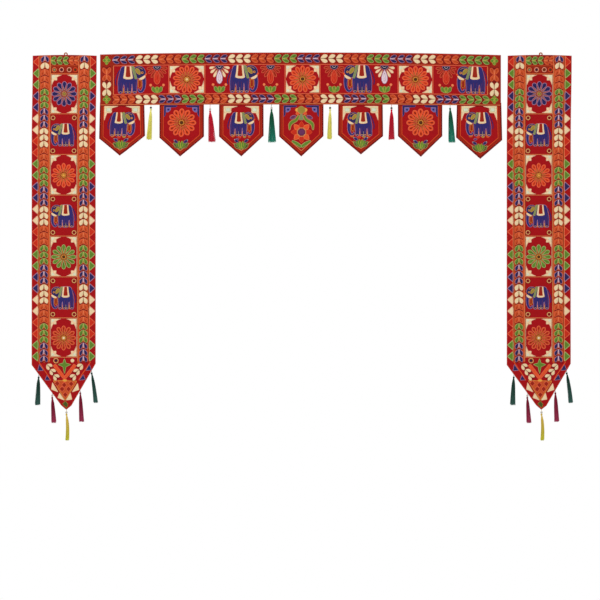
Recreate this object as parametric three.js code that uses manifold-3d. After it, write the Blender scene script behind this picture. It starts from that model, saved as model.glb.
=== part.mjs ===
// An embroidered door hanging in three cloths, at its real size in millimetres.
// The toran is a band that hangs along a lintel, with seven pointed pendants sewn behind its lower
// edge and six tassels between them. Two long side panels hang beside the door. Each panel has a
// loop at its top, a pointed foot and five tassels.
// +X runs to the right along the lintel, +Z up, and the embroidered faces look along -Y.
// The origin is the middle of the band's top edge, half way through the cloth.
import * as THREE from "three";
import { mergeVertices } from "three/addons/utils/BufferGeometryUtils.js";
import Module from "manifold-3d";

const wasm = await Module();
wasm.setup();

// Driving sizes.
const CLOTH = 2.0; // one embroidered cloth with its turned hems, pressed flat
const GAP = 0.3; // between pieces that are sewn to each other
const BAND = { width: 1002, height: 130, columns: 40, rows: 4 };
const SEAM = 8; // how far a pendant's top goes up behind the band
const PENDANT = { width: 111, columns: 6, rows: 5 };
const PANEL = { width: 160, length: 885, columns: 10, rows: 16 };
const THREAD = { radius: 0.55 }; // what a tassel hangs on
const HEAD = { radius: 2.4, length: 9, sides: 6 }; // a tassel's tied head
const BEAD = { radius: 2.9, height: 4.6, sides: 8 };
const STRAND = {
  outer: 9,
  inner: 5,
  rootRadius: 0.38,
  footRadius: 0.7,
  flatness: 0.62, // a tassel hangs flatter than it is wide
  swell: 0.6, // it grows wide soon below its head
};
const LOOP = { radius: 3.4, cord: 1.6, sides: 6, steps: 12, rise: 1.6, shift: 2.7 };

const COLOURS = {
  cloth: 0xa8141c,
  yellow: 0xd9c64a,
  red: 0xa3182c,
  green: 0x1c5a46,
  maroon: 0x760f2c,
  bottleGreen: 0x143c32,
  mustard: 0xb9a032,
  darkBead: 0x3a201c,
  paleBead: 0xc9c2b4,
  loop: 0xa8622c,
};

// The band's ends hang a little lower than its middle, and its top edge more than its lower edge.
const END_DROP = { left: 5, right: 6.5, lowerEdgeShare: 0.55, power: 2.6 };

// The ripples of the hung cloths stand off the wall, towards the viewer. Amplitudes and lengths
// are in millimetres, and phases are in turns.
const BAND_RIPPLES = [
  { amplitude: 3.0, length: 430, phase: 0.15 },
  { amplitude: 1.2, length: 190, phase: 0.6 },
];
const PANEL_RIPPLES = [
  { amplitude: 3.4, length: 520, phase: 0.0 },
  { amplitude: 1.4, length: 230, phase: 0.35 },
];
const BAND_RIPPLE_FULL = 0.75; // the share of the band's height where its ripples are full
const PANEL_RIPPLE_FULL = 0.17;
const PANEL_TWIST = 1.6; // how far one long edge stands off the wall, and then the other
const PANEL_LEAN = { by: 2.5, within: 220 }; // a panel's middle line moves to the left
const PANEL_CROWN = 2; // the loop lifts the middle of a panel's top edge

// Each pendant: its middle, its two shoulders and its tip, as heights from the origin. tipShift is
// sideways from the middle, curl is how far the tip turns to the front (+) or the back (-), and
// flare is how much wider its sides would be at the tip's height than at the seam.
const PENDANTS = [
  { middle: -446.0, leftShoulder: -215, rightShoulder: -208, tipShift: -6, tip: -258, curl: 3.0, flare: 6 },
  { middle: -297.0, leftShoulder: -213, rightShoulder: -210, tipShift: -4, tip: -260, curl: -0.5, flare: 1 },
  { middle: -148.0, leftShoulder: -210, rightShoulder: -208, tipShift: 0, tip: -260, curl: 2.0, flare: 1 },
  { middle: 2.0, leftShoulder: -210, rightShoulder: -209, tipShift: 0, tip: -260, curl: 4.0, flare: 0 },
  { middle: 150.0, leftShoulder: -206, rightShoulder: -209, tipShift: 1, tip: -255, curl: 1.0, flare: 3 },
  { middle: 299.0, leftShoulder: -209, rightShoulder: -209, tipShift: 2, tip: -261, curl: 2.5, flare: 0 },
  { middle: 446.5, leftShoulder: -212, rightShoulder: -219, tipShift: 3, tip: -266, curl: -1.0, flare: 7 },
];

// A side panel's foot: where its lower edge lies below the top edge, at each share of the half
// width, from the left edge (-1) to the right edge (1). It comes to a blunt point.
const FOOT = [
  { share: -1.0, below: 773 },
  { share: -0.08, below: 874 },
  { share: 0.08, below: PANEL.length },
  { share: 0.24, below: 875 },
  { share: 1.0, below: 770 },
];
const PANEL_COLUMNS = [-1, -0.77, -0.54, -0.31, -0.08, 0.08, 0.24, 0.43, 0.62, 0.81, 1];
const PANELS = [
  { side: "left", middle: -589.5, top: -8 },
  { side: "right", middle: 598, top: -8 },
];

// Tassels. x is from the middle of the band or of the panel, thread is what shows of the thread
// below the cloth's edge, drop is from that edge to the strands' ends, lean is how far the ends
// hang sideways, and width is across the ends.
const TORAN_TASSELS = [
  { x: -374.0, thread: 9, drop: 87, lean: -4.5, width: 14, yarn: "yellow", bead: "darkBead" },
  { x: -226.0, thread: 14, drop: 94, lean: 5.0, width: 19, yarn: "red", bead: "paleBead" },
  { x: -72.5, thread: 11, drop: 95, lean: 1.5, width: 21, yarn: "green", bead: "paleBead" },
  { x: 74.0, thread: 11, drop: 87, lean: -1.5, width: 13, yarn: "yellow", bead: "darkBead" },
  { x: 227.5, thread: 11, drop: 88, lean: 0.0, width: 16, yarn: "red", bead: "darkBead" },
  { x: 374.0, thread: 6, drop: 94, lean: 4.5, width: 18, yarn: "green", bead: null },
];
const FOOT_TASSELS = [
  { x: -62.5, thread: 3.5, drop: 76, lean: -2.5, width: 14, yarn: "bottleGreen", bead: null },
  { x: -28.5, thread: 8, drop: 74, lean: 4.0, width: 13, yarn: "maroon", bead: "paleBead" },
  { x: 7.0, thread: 9, drop: 77, lean: 2.0, width: 10, yarn: "mustard", bead: "paleBead" },
  { x: 41.5, thread: 3.5, drop: 78, lean: 3.5, width: 13, yarn: "maroon", bead: null },
  { x: 70.0, thread: 3, drop: 80, lean: 10.0, width: 12, yarn: "bottleGreen", bead: null },
];

const { lerp, smoothstep } = THREE.MathUtils;

// How far a set of ripples stands off the wall at a place along them, from 0 up.
function ripple(ripples, along) {
  return ripples.reduce(
    (sum, r) => sum + (r.amplitude / 2) * (1 - Math.cos(2 * Math.PI * (along / r.length + r.phase))),
    0,
  );
}

// Where a point of the band's middle layer hangs. below is measured down from its top edge.
function onBand(x, below) {
  const share = below / BAND.height;
  const drop = x < 0 ? END_DROP.left : END_DROP.right;
  const eased = Math.pow(Math.abs(x) / (BAND.width / 2), END_DROP.power);
  const off = smoothstep(share, 0, BAND_RIPPLE_FULL) * ripple(BAND_RIPPLES, x);
  return new THREE.Vector3(x, -off, -below - drop * eased * lerp(1, END_DROP.lowerEdgeShare, share));
}

// Where a point of a side panel's middle layer hangs. share is -1 at its left edge, 1 at its right.
function onPanel(panel, share, below) {
  const fallen = below / PANEL.length;
  const lean = -PANEL_LEAN.by * smoothstep(below, 0, PANEL_LEAN.within);
  const twist = PANEL_TWIST * share * Math.sin(2 * Math.PI * fallen);
  const off = smoothstep(fallen, 0, PANEL_RIPPLE_FULL) * (ripple(PANEL_RIPPLES, below) + twist);
  const crown = PANEL_CROWN * (1 - share * share) * (1 - fallen);
  return new THREE.Vector3(
    panel.middle + lean + (share * PANEL.width) / 2,
    -off,
    panel.top - below + crown,
  );
}

// How far a side panel's lower edge lies below its top edge, at a share of its half width.
function footBelow(share) {
  const next = Math.max(1, FOOT.findIndex((point) => point.share >= share));
  const [a, b] = [FOOT[next - 1], FOOT[next]];
  return lerp(a.below, b.below, (share - a.share) / (b.share - a.share));
}

// A cloth: a closed sheet of columns by rows, CLOTH thick front to back. Its middle layer is
// place(u, v), with u from 0 to 1 left to right, and v from 0 to 1 top to bottom.
function cloth({ columns, rows }, place) {
  const geometry = new THREE.BoxGeometry(1, 1, 1, columns, 1, rows);
  const position = geometry.getAttribute("position");
  for (let i = 0; i < position.count; i += 1) {
    const at = place(position.getX(i) + 0.5, 0.5 - position.getZ(i));
    at.y += position.getY(i) * CLOTH;
    position.setXYZ(i, at.x, at.y, at.z);
  }
  return geometry;
}

// A geometry as a manifold-3d solid.
function solid(geometry) {
  geometry.deleteAttribute("normal");
  geometry.deleteAttribute("uv");
  const merged = mergeVertices(geometry, 1e-4);
  return new wasm.Manifold(
    new wasm.Mesh({
      numProp: 3,
      vertProperties: merged.getAttribute("position").array,
      triVerts: new Uint32Array(merged.index.array),
    }),
  );
}

// A manifold-3d solid as a geometry.
function geometryOf(made) {
  const { vertProperties, triVerts } = made.getMesh();
  const geometry = new THREE.BufferGeometry();
  geometry.setAttribute("position", new THREE.BufferAttribute(vertProperties, 3));
  geometry.setIndex(new THREE.BufferAttribute(triVerts, 1));
  return geometry;
}

// A turned shape about the Z axis, from a profile of [radius, height] pairs.
function turned(profile, sides) {
  const points = profile.map(([radius, height]) => new THREE.Vector2(radius, height));
  return new THREE.LatheGeometry(points, sides).rotateX(Math.PI / 2);
}

// One strand of a tassel: a three-sided length of yarn from inside the head down to the foot.
// angle is its place around the tassel, and share how far out it hangs.
function strand(tassel, from, angle, share, trim) {
  const length = tassel.drop - from - trim;
  const geometry = new THREE.CylinderGeometry(STRAND.rootRadius, STRAND.footRadius, length, 3, 3);
  geometry.rotateX(Math.PI / 2);
  const position = geometry.getAttribute("position");
  for (let i = 0; i < position.count; i += 1) {
    const fall = Math.max(0, 0.5 - position.getZ(i) / length);
    const spread = lerp(HEAD.radius * 0.66, tassel.width / 2 - STRAND.footRadius, fall ** STRAND.swell);
    const depth = spread * lerp(1, STRAND.flatness, fall);
    position.setXYZ(
      i,
      position.getX(i) + share * spread * Math.cos(angle) + tassel.lean * fall,
      position.getY(i) + share * depth * Math.sin(angle),
      -from - fall * length,
    );
  }
  return geometry;
}

// A tassel from its thread's top at the origin: the thread, the tied head, and the strands that
// grow out of the head.
function tasselGeometry(tassel) {
  const foot = -tassel.thread - HEAD.length;
  const profile = [
    [0, foot],
    [HEAD.radius * 0.8, foot],
    [HEAD.radius, foot + HEAD.length * 0.4],
    [HEAD.radius * 0.7, -tassel.thread - 1.5],
    [THREAD.radius, -tassel.thread],
    [THREAD.radius, 0],
    [0, 0],
  ];
  let made = solid(turned(profile, HEAD.sides));
  const rings = [
    { count: STRAND.outer, share: 1, turn: 0 },
    { count: STRAND.inner, share: 0.48, turn: 0.5 },
  ];
  const from = tassel.thread + HEAD.length * 0.6;
  for (const ring of rings)
    for (let k = 0; k < ring.count; k += 1) {
      const angle = (2 * Math.PI * (k + ring.turn)) / ring.count;
      const trim = 1.5 * (1 + Math.sin(2.4 * k + ring.count)); // the ends are cut a little uneven
      made = made.add(solid(strand(tassel, from, angle, ring.share, trim)));
    }
  return geometryOf(made);
}

// A round bead with a bore for the thread, centred on the origin.
function beadGeometry() {
  const [bore, half] = [THREAD.radius + GAP, BEAD.height / 2];
  const profile = [
    [bore, -half],
    [BEAD.radius * 0.7, -half],
    [BEAD.radius, -half * 0.3],
    [BEAD.radius, half * 0.3],
    [BEAD.radius * 0.7, half],
    [bore, half],
    [bore, -half],
  ];
  return turned(profile, BEAD.sides);
}

const hanging = new THREE.Group();

function addPiece(name, geometry, colour, roughness) {
  const material = new THREE.MeshStandardMaterial({ color: COLOURS[colour], roughness });
  material.metalness = 0;
  const mesh = new THREE.Mesh(geometry, material);
  mesh.name = name;
  hanging.add(mesh);
  return mesh;
}

// A tassel whose thread is sewn to a cloth's lower edge at a point, and the bead that rests on its
// head if it has one.
function addTassel(name, tassel, edge) {
  addPiece(name, tasselGeometry(tassel), tassel.yarn, 0.7).position.copy(edge);
  if (!tassel.bead) return;
  const bead = addPiece(name.replace("tassel", "bead"), beadGeometry(), tassel.bead, 0.35);
  bead.position.set(edge.x, edge.y, edge.z - tassel.thread + GAP + BEAD.height / 2);
}

function addBand() {
  const place = (u, v) => onBand((u - 0.5) * BAND.width, v * BAND.height);
  addPiece("toran_band", cloth(BAND, place), "cloth", 0.85);
}

// A pendant hangs behind the band and goes on from its ripples, and its tip curls.
function addPendant(pendant, number) {
  const place = (u, v) => {
    const across = 2 * u - 1;
    const shoulder = across < 0 ? pendant.leftShoulder : pendant.rightShoulder;
    const foot = lerp(pendant.tip, shoulder, Math.abs(across));
    const at = onBand(pendant.middle + (across * PENDANT.width) / 2, BAND.height - SEAM);
    const seam = at.z;
    at.z = lerp(seam, foot, v);
    const fallen = (seam - at.z) / (seam - pendant.tip);
    at.x += pendant.tipShift * fallen * (1 - Math.abs(across)) + (across * pendant.flare * fallen) / 2;
    at.y += CLOTH + GAP - pendant.curl * fallen * fallen;
    return at;
  };
  addPiece(`pendant_${number}`, cloth(PENDANT, place), "cloth", 0.85);
}

function addToranTassels() {
  TORAN_TASSELS.forEach((tassel, i) => {
    const edge = onBand(tassel.x, BAND.height);
    edge.z -= GAP;
    addTassel(`toran_tassel_${i + 1}`, tassel, edge);
  });
}

// A tassel's thread meets the sloping foot of a panel at the higher of its two corners.
function footEdge(panel, x) {
  const corners = [x - THREAD.radius, x + THREAD.radius].map((cornerX) => {
    const share = cornerX / (PANEL.width / 2);
    return onPanel(panel, share, footBelow(share));
  });
  const edge = corners[0].clone().lerp(corners[1], 0.5);
  edge.z = Math.min(corners[0].z, corners[1].z) - GAP;
  return edge;
}

function addSidePanel(panel) {
  const place = (u, v) => {
    const share = PANEL_COLUMNS[Math.round(u * PANEL.columns)];
    return onPanel(panel, share, v * footBelow(share));
  };
  addPiece(`side_panel_${panel.side}`, cloth(PANEL, place), "cloth", 0.85);

  // The loop is sewn behind the top hem, with its eye just above the cloth.
  const ring = new THREE.TorusGeometry(LOOP.radius, LOOP.cord, LOOP.sides, LOOP.steps);
  const loop = addPiece(`hanging_loop_${panel.side}`, ring.rotateX(Math.PI / 2), "loop", 0.6);
  loop.position.copy(onPanel(panel, 0, 0));
  loop.position.add(new THREE.Vector3(LOOP.shift, CLOTH / 2 + GAP + LOOP.cord, LOOP.rise));

  FOOT_TASSELS.forEach((tassel, i) => {
    const edge = footEdge(panel, tassel.x);
    addTassel(`side_tassel_${panel.side}_${i + 1}`, tassel, edge);
  });
}

addBand();
PENDANTS.forEach((pendant, i) => addPendant(pendant, i + 1));
addToranTassels();
PANELS.forEach(addSidePanel);

export default hanging;
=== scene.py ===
"""An embroidered toran door hanging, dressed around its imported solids.

Each cloth is a thin sheet that hangs as its solid does. Its embroidery is drawn flat, in
millimetres, as fills and chain stitched lines in named threads, and is then hung with its cloth.
Tassels, beads and hanging loops follow. Places on a flat cloth are complex numbers: the real part
runs to the right, and the imaginary part up.
"""

import cmath
import logging
import math
import random
from dataclasses import dataclass, field, replace
from enum import Enum
from typing import Callable, Sequence

import bmesh
import bpy
import numpy as np
from mathutils import Matrix, Vector


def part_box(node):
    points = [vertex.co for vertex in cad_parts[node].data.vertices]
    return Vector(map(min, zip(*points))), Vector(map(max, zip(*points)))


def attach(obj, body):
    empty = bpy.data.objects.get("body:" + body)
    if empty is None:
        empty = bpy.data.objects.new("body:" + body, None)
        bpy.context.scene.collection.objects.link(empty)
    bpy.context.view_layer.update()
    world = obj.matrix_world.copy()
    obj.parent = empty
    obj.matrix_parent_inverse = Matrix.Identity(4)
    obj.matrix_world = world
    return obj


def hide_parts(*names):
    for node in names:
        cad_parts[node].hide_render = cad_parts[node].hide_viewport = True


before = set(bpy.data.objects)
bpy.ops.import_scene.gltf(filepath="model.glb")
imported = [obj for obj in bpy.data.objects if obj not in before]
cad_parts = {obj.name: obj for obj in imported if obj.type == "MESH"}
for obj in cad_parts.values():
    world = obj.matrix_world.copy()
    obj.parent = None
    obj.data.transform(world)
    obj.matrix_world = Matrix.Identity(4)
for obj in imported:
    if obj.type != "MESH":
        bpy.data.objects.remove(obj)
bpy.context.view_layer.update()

LOG = logging.getLogger("toran")
MM = 0.001  # a millimetre, in metres
BODY = "root"
CLOTH = 2.0  # the thickness of a cloth
FRONT = CLOTH / 2  # from a cloth's middle layer to its embroidered face
GAP = 0.3  # between pieces that lie close to each other
GOLDEN_ANGLE = 2.39996  # in radians, from one strand to the next, which spreads them evenly
SHADE_AND_TONE_SHARES = (0.55, 0.2, 0.3)  # of a finish's colour: painted shade from its relief, and tone from its stitches and its fading
Outline = list[complex]
Hang = Callable[[np.ndarray], np.ndarray]  # puts flat places in millimetres where they hang, in metres


def linear(red: float, green: float, blue: float) -> tuple[float, float, float, float]:
    """Turns screen values from 0 to 255 into a linear colour.

    Args:
        red, green, blue: The screen values.

    Returns:
        The linear colour with an alpha of 1.
    """
    def one(value: float) -> float:
        """One channel."""
        share = value / 255
        return share / 12.92 if share <= 0.04045 else ((share + 0.055) / 1.055) ** 2.4

    return one(red), one(green), one(blue), 1.0


class Thread(Enum):
    """The embroidery threads, by their screen colours."""

    CRIMSON = (168, 4, 14)
    WINE = (118, 14, 20)
    RUST = (156, 34, 12)
    BRICK = (204, 82, 36)
    VERMILION = (204, 46, 22)
    ORANGE = (232, 84, 40)
    CORAL = (240, 106, 72)
    APRICOT = (244, 138, 84)
    NAVY = (42, 36, 92)
    INK = (34, 34, 56)
    INDIGO = (46, 40, 110)
    PERIWINKLE = (108, 100, 172)
    LILAC = (176, 130, 160)
    PLUM = (108, 50, 92)
    CREAM = (254, 216, 170)
    ROSE = (250, 178, 146)
    PEARL = (236, 214, 222)
    CELADON = (220, 226, 198)
    STRAW = (240, 198, 128)
    GREEN = (100, 136, 42)
    MOSS = (74, 84, 34)
    MINT = (172, 190, 118)
    LIME = (194, 190, 80)
    SAGE = (128, 140, 96)
    OLIVE = (158, 136, 56)
    TAN = (206, 150, 98)
    GOLD = (232, 166, 70)
    UMBER = (84, 52, 18)


class Graph:
    """A short way to write down a node tree."""

    def __init__(self, tree: bpy.types.NodeTree) -> None:
        """Keeps the tree that the nodes go into."""
        self.tree = tree

    def node(self, kind: str, **settings: object) -> bpy.types.Node:
        """Adds a node.

        Args:
            kind: The node's type name.
            settings: Its properties.

        Returns:
            The new node.
        """
        made = self.tree.nodes.new(kind)
        for name, value in settings.items():
            setattr(made, name, value)
        return made

    def put(self, socket: bpy.types.NodeSocket, value: object) -> None:
        """Links a socket to another, or sets its value.

        Args:
            socket: The socket.
            value: Another socket, or a plain value.
        """
        if isinstance(value, bpy.types.NodeSocket):
            self.tree.links.new(value, socket)
        else:
            socket.default_value = value

    def math(self, operation: str, *values: object, clamp: bool = False) -> bpy.types.NodeSocket:
        """Adds a Math node.

        Args:
            operation: What it works out.
            values: Sockets or numbers.
            clamp: Whether its result stays from 0 to 1.

        Returns:
            Its output socket.
        """
        made = self.node("ShaderNodeMath", operation=operation, use_clamp=clamp)
        for socket, value in zip(made.inputs, values):
            self.put(socket, value)
        return made.outputs[0]

    def mix(self, factor: object, low: object, high: object) -> bpy.types.NodeSocket:
        """Mixes two colours by a factor.

        Args:
            factor: How much of the high colour shows.
            low, high: The two colours.

        Returns:
            The output socket.
        """
        made = self.node("ShaderNodeMix", data_type="RGBA")
        self.put(made.inputs[0], factor)
        self.put(made.inputs[6], low)
        self.put(made.inputs[7], high)
        return made.outputs[2]

    def group(self, tree: bpy.types.NodeTree, **values: object) -> bpy.types.Node:
        """Places a node group.

        Args:
            tree: The node group.
            values: Its inputs, by name.

        Returns:
            The node.
        """
        made = self.node("ShaderNodeGroup", node_tree=tree)
        for name, value in values.items():
            self.put(made.inputs[name], value)
        return made


def new_group(name: str, inputs: dict[str, object], outputs: Sequence[str]) -> tuple[Graph, object, object]:
    """Starts a shader node group with named sockets.

    Args:
        name: The group's name.
        inputs: Each input's default, a number, or None for a vector.
        outputs: The names of its number outputs.

    Returns:
        Its graph, and its input and output nodes.
    """
    tree = bpy.data.node_groups.new(name, "ShaderNodeTree")
    for title, default in inputs.items():
        kind = "NodeSocketVector" if default is None else "NodeSocketFloat"
        socket = tree.interface.new_socket(title, in_out="INPUT", socket_type=kind)
        if default is not None:
            socket.default_value = default
    for title in outputs:
        tree.interface.new_socket(title, in_out="OUTPUT", socket_type="NodeSocketFloat")
    graph = Graph(tree)
    return graph, graph.node("NodeGroupInput"), graph.node("NodeGroupOutput")


class Effects:
    """The shader node groups that several finishes use, each built once."""

    def __init__(self) -> None:
        """Builds every group."""
        self.chain = self.chain_stitch()
        self.weave = self.plain_weave()
        self.twist = self.yarn_twist()
        self.fade = self.soft_fade()

    def chain_stitch(self) -> bpy.types.NodeTree:
        """Rows of chain stitches: two strands that part and meet again in every stitch.

        Returns:
            A group with Vector in millimetres, Row and Stitch in, and Height and Tone out.
        """
        graph, given, made = new_group(
            "chain stitch", {"Vector": None, "Row": 1.5, "Stitch": 2.6}, ("Height", "Tone")
        )
        shift, parting = 0.37, 0.46  # along from row to row, and across where the strands part
        split = graph.node("ShaderNodeSeparateXYZ")
        graph.put(split.inputs[0], given.outputs["Vector"])
        row = graph.math("DIVIDE", split.outputs["Y"], given.outputs["Row"])
        number = graph.math("FLOOR", row)
        off_middle = graph.math("ABSOLUTE", graph.math("SUBTRACT", graph.math("FRACT", row), 0.5))
        across = graph.math("MULTIPLY", off_middle, 2.0)
        stagger = graph.math("MULTIPLY", number, shift)
        along = graph.math("DIVIDE", split.outputs["X"], given.outputs["Stitch"])
        along = graph.math("ADD", along, stagger)
        part = graph.math("SINE", graph.math("MULTIPLY", graph.math("FRACT", along), math.pi))
        strand = graph.math("SUBTRACT", across, graph.math("MULTIPLY", part, parting))
        strand = graph.math("POWER", graph.math("ABSOLUTE", graph.math("DIVIDE", strand, 1 - parting)), 2.0)
        profile = graph.math("SUBTRACT", 1.0, strand, clamp=True)
        pinch = graph.math("ADD", graph.math("MULTIPLY", part, 0.35), 0.65)
        graph.put(made.inputs["Height"], graph.math("MULTIPLY", profile, pinch))
        cell = graph.node("ShaderNodeCombineXYZ")
        graph.put(cell.inputs[0], graph.math("FLOOR", along))
        graph.put(cell.inputs[1], number)
        speck = graph.node("ShaderNodeTexWhiteNoise", noise_dimensions="2D")
        graph.put(speck.inputs["Vector"], cell.outputs[0])
        graph.put(made.inputs["Tone"], speck.outputs["Value"])
        return graph.tree

    def plain_weave(self) -> bpy.types.NodeTree:
        """A plain weave of even threads.

        Returns:
            A group with Vector in millimetres and Pitch in, and Height and Tone out.
        """
        graph, given, made = new_group("plain weave", {"Vector": None, "Pitch": 0.6}, ("Height", "Tone"))
        split = graph.node("ShaderNodeSeparateXYZ")
        graph.put(split.inputs[0], given.outputs["Vector"])
        waves = []
        for axis in ("X", "Y"):
            turns = graph.math("DIVIDE", split.outputs[axis], given.outputs["Pitch"])
            waves.append(graph.math("SINE", graph.math("MULTIPLY", turns, math.pi)))
        over = graph.math("MULTIPLY", waves[0], waves[1])
        height = graph.math("ADD", graph.math("MULTIPLY", over, 0.5), 0.5)
        graph.put(made.inputs["Height"], height)
        noise = graph.node("ShaderNodeTexNoise", noise_dimensions="3D")
        graph.put(noise.inputs["Vector"], given.outputs["Vector"])
        graph.put(noise.inputs["Scale"], 0.4)
        graph.put(made.inputs["Tone"], noise.outputs[0])
        return graph.tree

    def yarn_twist(self) -> bpy.types.NodeTree:
        """Fine fibres that wind along a yarn that hangs down.

        Returns:
            A group with Vector in metres and Fibres per metre in, and Height and Tone out.
        """
        graph, given, made = new_group(
            "yarn twist", {"Vector": None, "Fibres": 2600.0}, ("Height", "Tone")
        )
        squeeze = graph.node("ShaderNodeVectorMath", operation="MULTIPLY")
        graph.put(squeeze.inputs[0], given.outputs["Vector"])
        graph.put(squeeze.inputs[1], (1.0, 1.0, 0.18))
        noise = graph.node("ShaderNodeTexNoise", noise_dimensions="3D")
        graph.put(noise.inputs["Vector"], squeeze.outputs[0])
        graph.put(noise.inputs["Scale"], given.outputs["Fibres"])
        graph.put(noise.inputs["Detail"], 1.0)
        graph.put(made.inputs["Height"], noise.outputs[0])
        broad = graph.node("ShaderNodeTexNoise", noise_dimensions="3D")
        graph.put(broad.inputs["Vector"], squeeze.outputs[0])
        graph.put(broad.inputs["Scale"], 420.0)
        graph.put(made.inputs["Tone"], broad.outputs[0])
        return graph.tree

    def soft_fade(self) -> bpy.types.NodeTree:
        """Slow, uneven fading over a whole piece.

        Returns:
            A group with Vector in metres in, and Tone out.
        """
        graph, given, made = new_group("soft fade", {"Vector": None}, ("Tone",))
        noise = graph.node("ShaderNodeTexNoise", noise_dimensions="3D")
        graph.put(noise.inputs["Vector"], given.outputs["Vector"])
        graph.put(noise.inputs["Scale"], 28.0)
        graph.put(noise.inputs["Detail"], 4.0)
        graph.put(made.inputs["Tone"], noise.outputs[0])
        return graph.tree


EFFECTS = Effects()


def new_material(name: str) -> tuple[bpy.types.Material, Graph, bpy.types.Node]:
    """Starts a material.

    Args:
        name: Its name.

    Returns:
        The material, its graph and its Principled node.
    """
    made = bpy.data.materials.new(name)
    made.use_nodes = True
    return made, Graph(made.node_tree), made.node_tree.nodes["Principled BSDF"]


def shaded(colour: Sequence[float], share: float) -> tuple[float, float, float, float]:
    """A colour made darker, below 1, or lighter, above 1, by a share of itself."""
    red, green, blue = (min(1.0, channel * share) for channel in colour[:3])
    return red, green, blue, 1.0


@dataclass(frozen=True)
class Finish:
    """A soft finish for cloth, thread and yarn.

    It has a colour, how far its tone varies, and the relief of its fibres. The relief is also painted
    into the colour as painted shade: lighter on its crests and darker in its grooves. A yarn whose cut
    tips have another colour has that one too; the darker colour near its head stands partly for
    painted shade.
    """

    name: str
    colour: tuple[float, float, float, float]
    effect: str
    roughness: float = 0.66
    sheen: float = 0.06
    dark: float = 0.68
    light: float = 1.2
    relief: float = 0.5
    depth: float = 0.0006
    tip: tuple[float, float, float, float] | None = None
    tip_power: float = 1.6
    sheen_roughness: float = 0.4
    specular: float = 0.14

    def material(self) -> bpy.types.Material:
        """The finish as a material, made once.

        Returns:
            The Blender material of this name.
        """
        known = bpy.data.materials.get(self.name)
        if known:
            return known
        made, graph, shader = new_material(self.name)
        made.diffuse_color = self.colour
        place = graph.node("ShaderNodeTexCoord")
        rows = graph.node("ShaderNodeUVMap", uv_map="rows")
        on_rows = self.effect in ("chain", "weave")
        where = rows.outputs[0] if on_rows else place.outputs["Object"]
        effect = graph.group(getattr(EFFECTS, self.effect), Vector=where)
        fade = graph.group(EFFECTS.fade, Vector=place.outputs["Object"])
        height, tone = effect.outputs["Height"], effect.outputs["Tone"]
        # Painted shade: the relief's height lightens its crests and darkens its grooves, mixed with the
        # random tone of the stitches and the fading.
        by_relief_shade, by_stitch, by_fading = SHADE_AND_TONE_SHARES
        shade_and_tone = graph.math("MULTIPLY", height, by_relief_shade)
        shade_and_tone = graph.math("ADD", shade_and_tone, graph.math("MULTIPLY", tone, by_stitch))
        shade_and_tone = graph.math("ADD", shade_and_tone, graph.math("MULTIPLY", fade.outputs["Tone"], by_fading), clamp=True)
        base = graph.mix(shade_and_tone, shaded(self.colour, self.dark), shaded(self.colour, self.light))
        # Down a yarn the colour blends from its own colour to the tip colour: partly the tips' own tint, and
        # partly painted shade that keeps the head darker.
        if self.tip:
            fall = graph.node("ShaderNodeAttribute", attribute_name="fall").outputs["Fac"]
            toward_tip = graph.mix(shade_and_tone, shaded(self.tip, self.dark), shaded(self.tip, self.light))
            base = graph.mix(graph.math("POWER", fall, self.tip_power), base, toward_tip)
        graph.put(shader.inputs["Base Color"], base)
        graph.put(shader.inputs["Roughness"], self.roughness)
        graph.put(shader.inputs["Sheen Weight"], self.sheen)
        graph.put(shader.inputs["Sheen Roughness"], self.sheen_roughness)
        graph.put(shader.inputs["Sheen Tint"], self.colour)
        graph.put(shader.inputs["Specular IOR Level"], self.specular)
        bump = graph.node("ShaderNodeBump")
        graph.put(bump.inputs["Strength"], self.relief)
        graph.put(bump.inputs["Distance"], self.depth)
        graph.put(bump.inputs["Height"], height)
        graph.put(shader.inputs["Normal"], bump.outputs[0])
        return made


def filled_with(thread: Thread) -> bpy.types.Material:
    """The finish of rows of chain stitches in a thread."""
    return Finish(f"{thread.name.lower()}_rows", linear(*thread.value), "chain").material()


def stitched_in(thread: Thread) -> bpy.types.Material:
    """The finish of a single raised line of stitches in a thread."""
    name = f"{thread.name.lower()}_line"
    return Finish(name, linear(*thread.value), "twist", dark=0.75, light=1.2, depth=0.0003).material()


def smooth(points: Sequence[complex], closed: bool = True, steps: int = 3) -> Outline:
    """A round curve through a few points.

    Args:
        points: The places that the curve goes through.
        closed: Whether it comes back to its start.
        steps: How many short lines go between two points.

    Returns:
        The curve's places.
    """
    count = len(points)

    def at(index: int) -> complex:
        """A point by its number, past the ends too."""
        return points[index % count] if closed else points[min(max(index, 0), count - 1)]

    curve = []
    for index in range(count if closed else count - 1):
        before, start, end, after = (at(index + k) for k in (-1, 0, 1, 2))
        for k in range(steps):
            t = k / steps
            bend = (2 * before - 5 * start + 4 * end - after) * t * t
            swing = (3 * start - before - 3 * end + after) * t ** 3
            curve.append(0.5 * (2 * start + (end - before) * t + bend + swing))
    return curve if closed else curve + [points[-1]]


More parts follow.
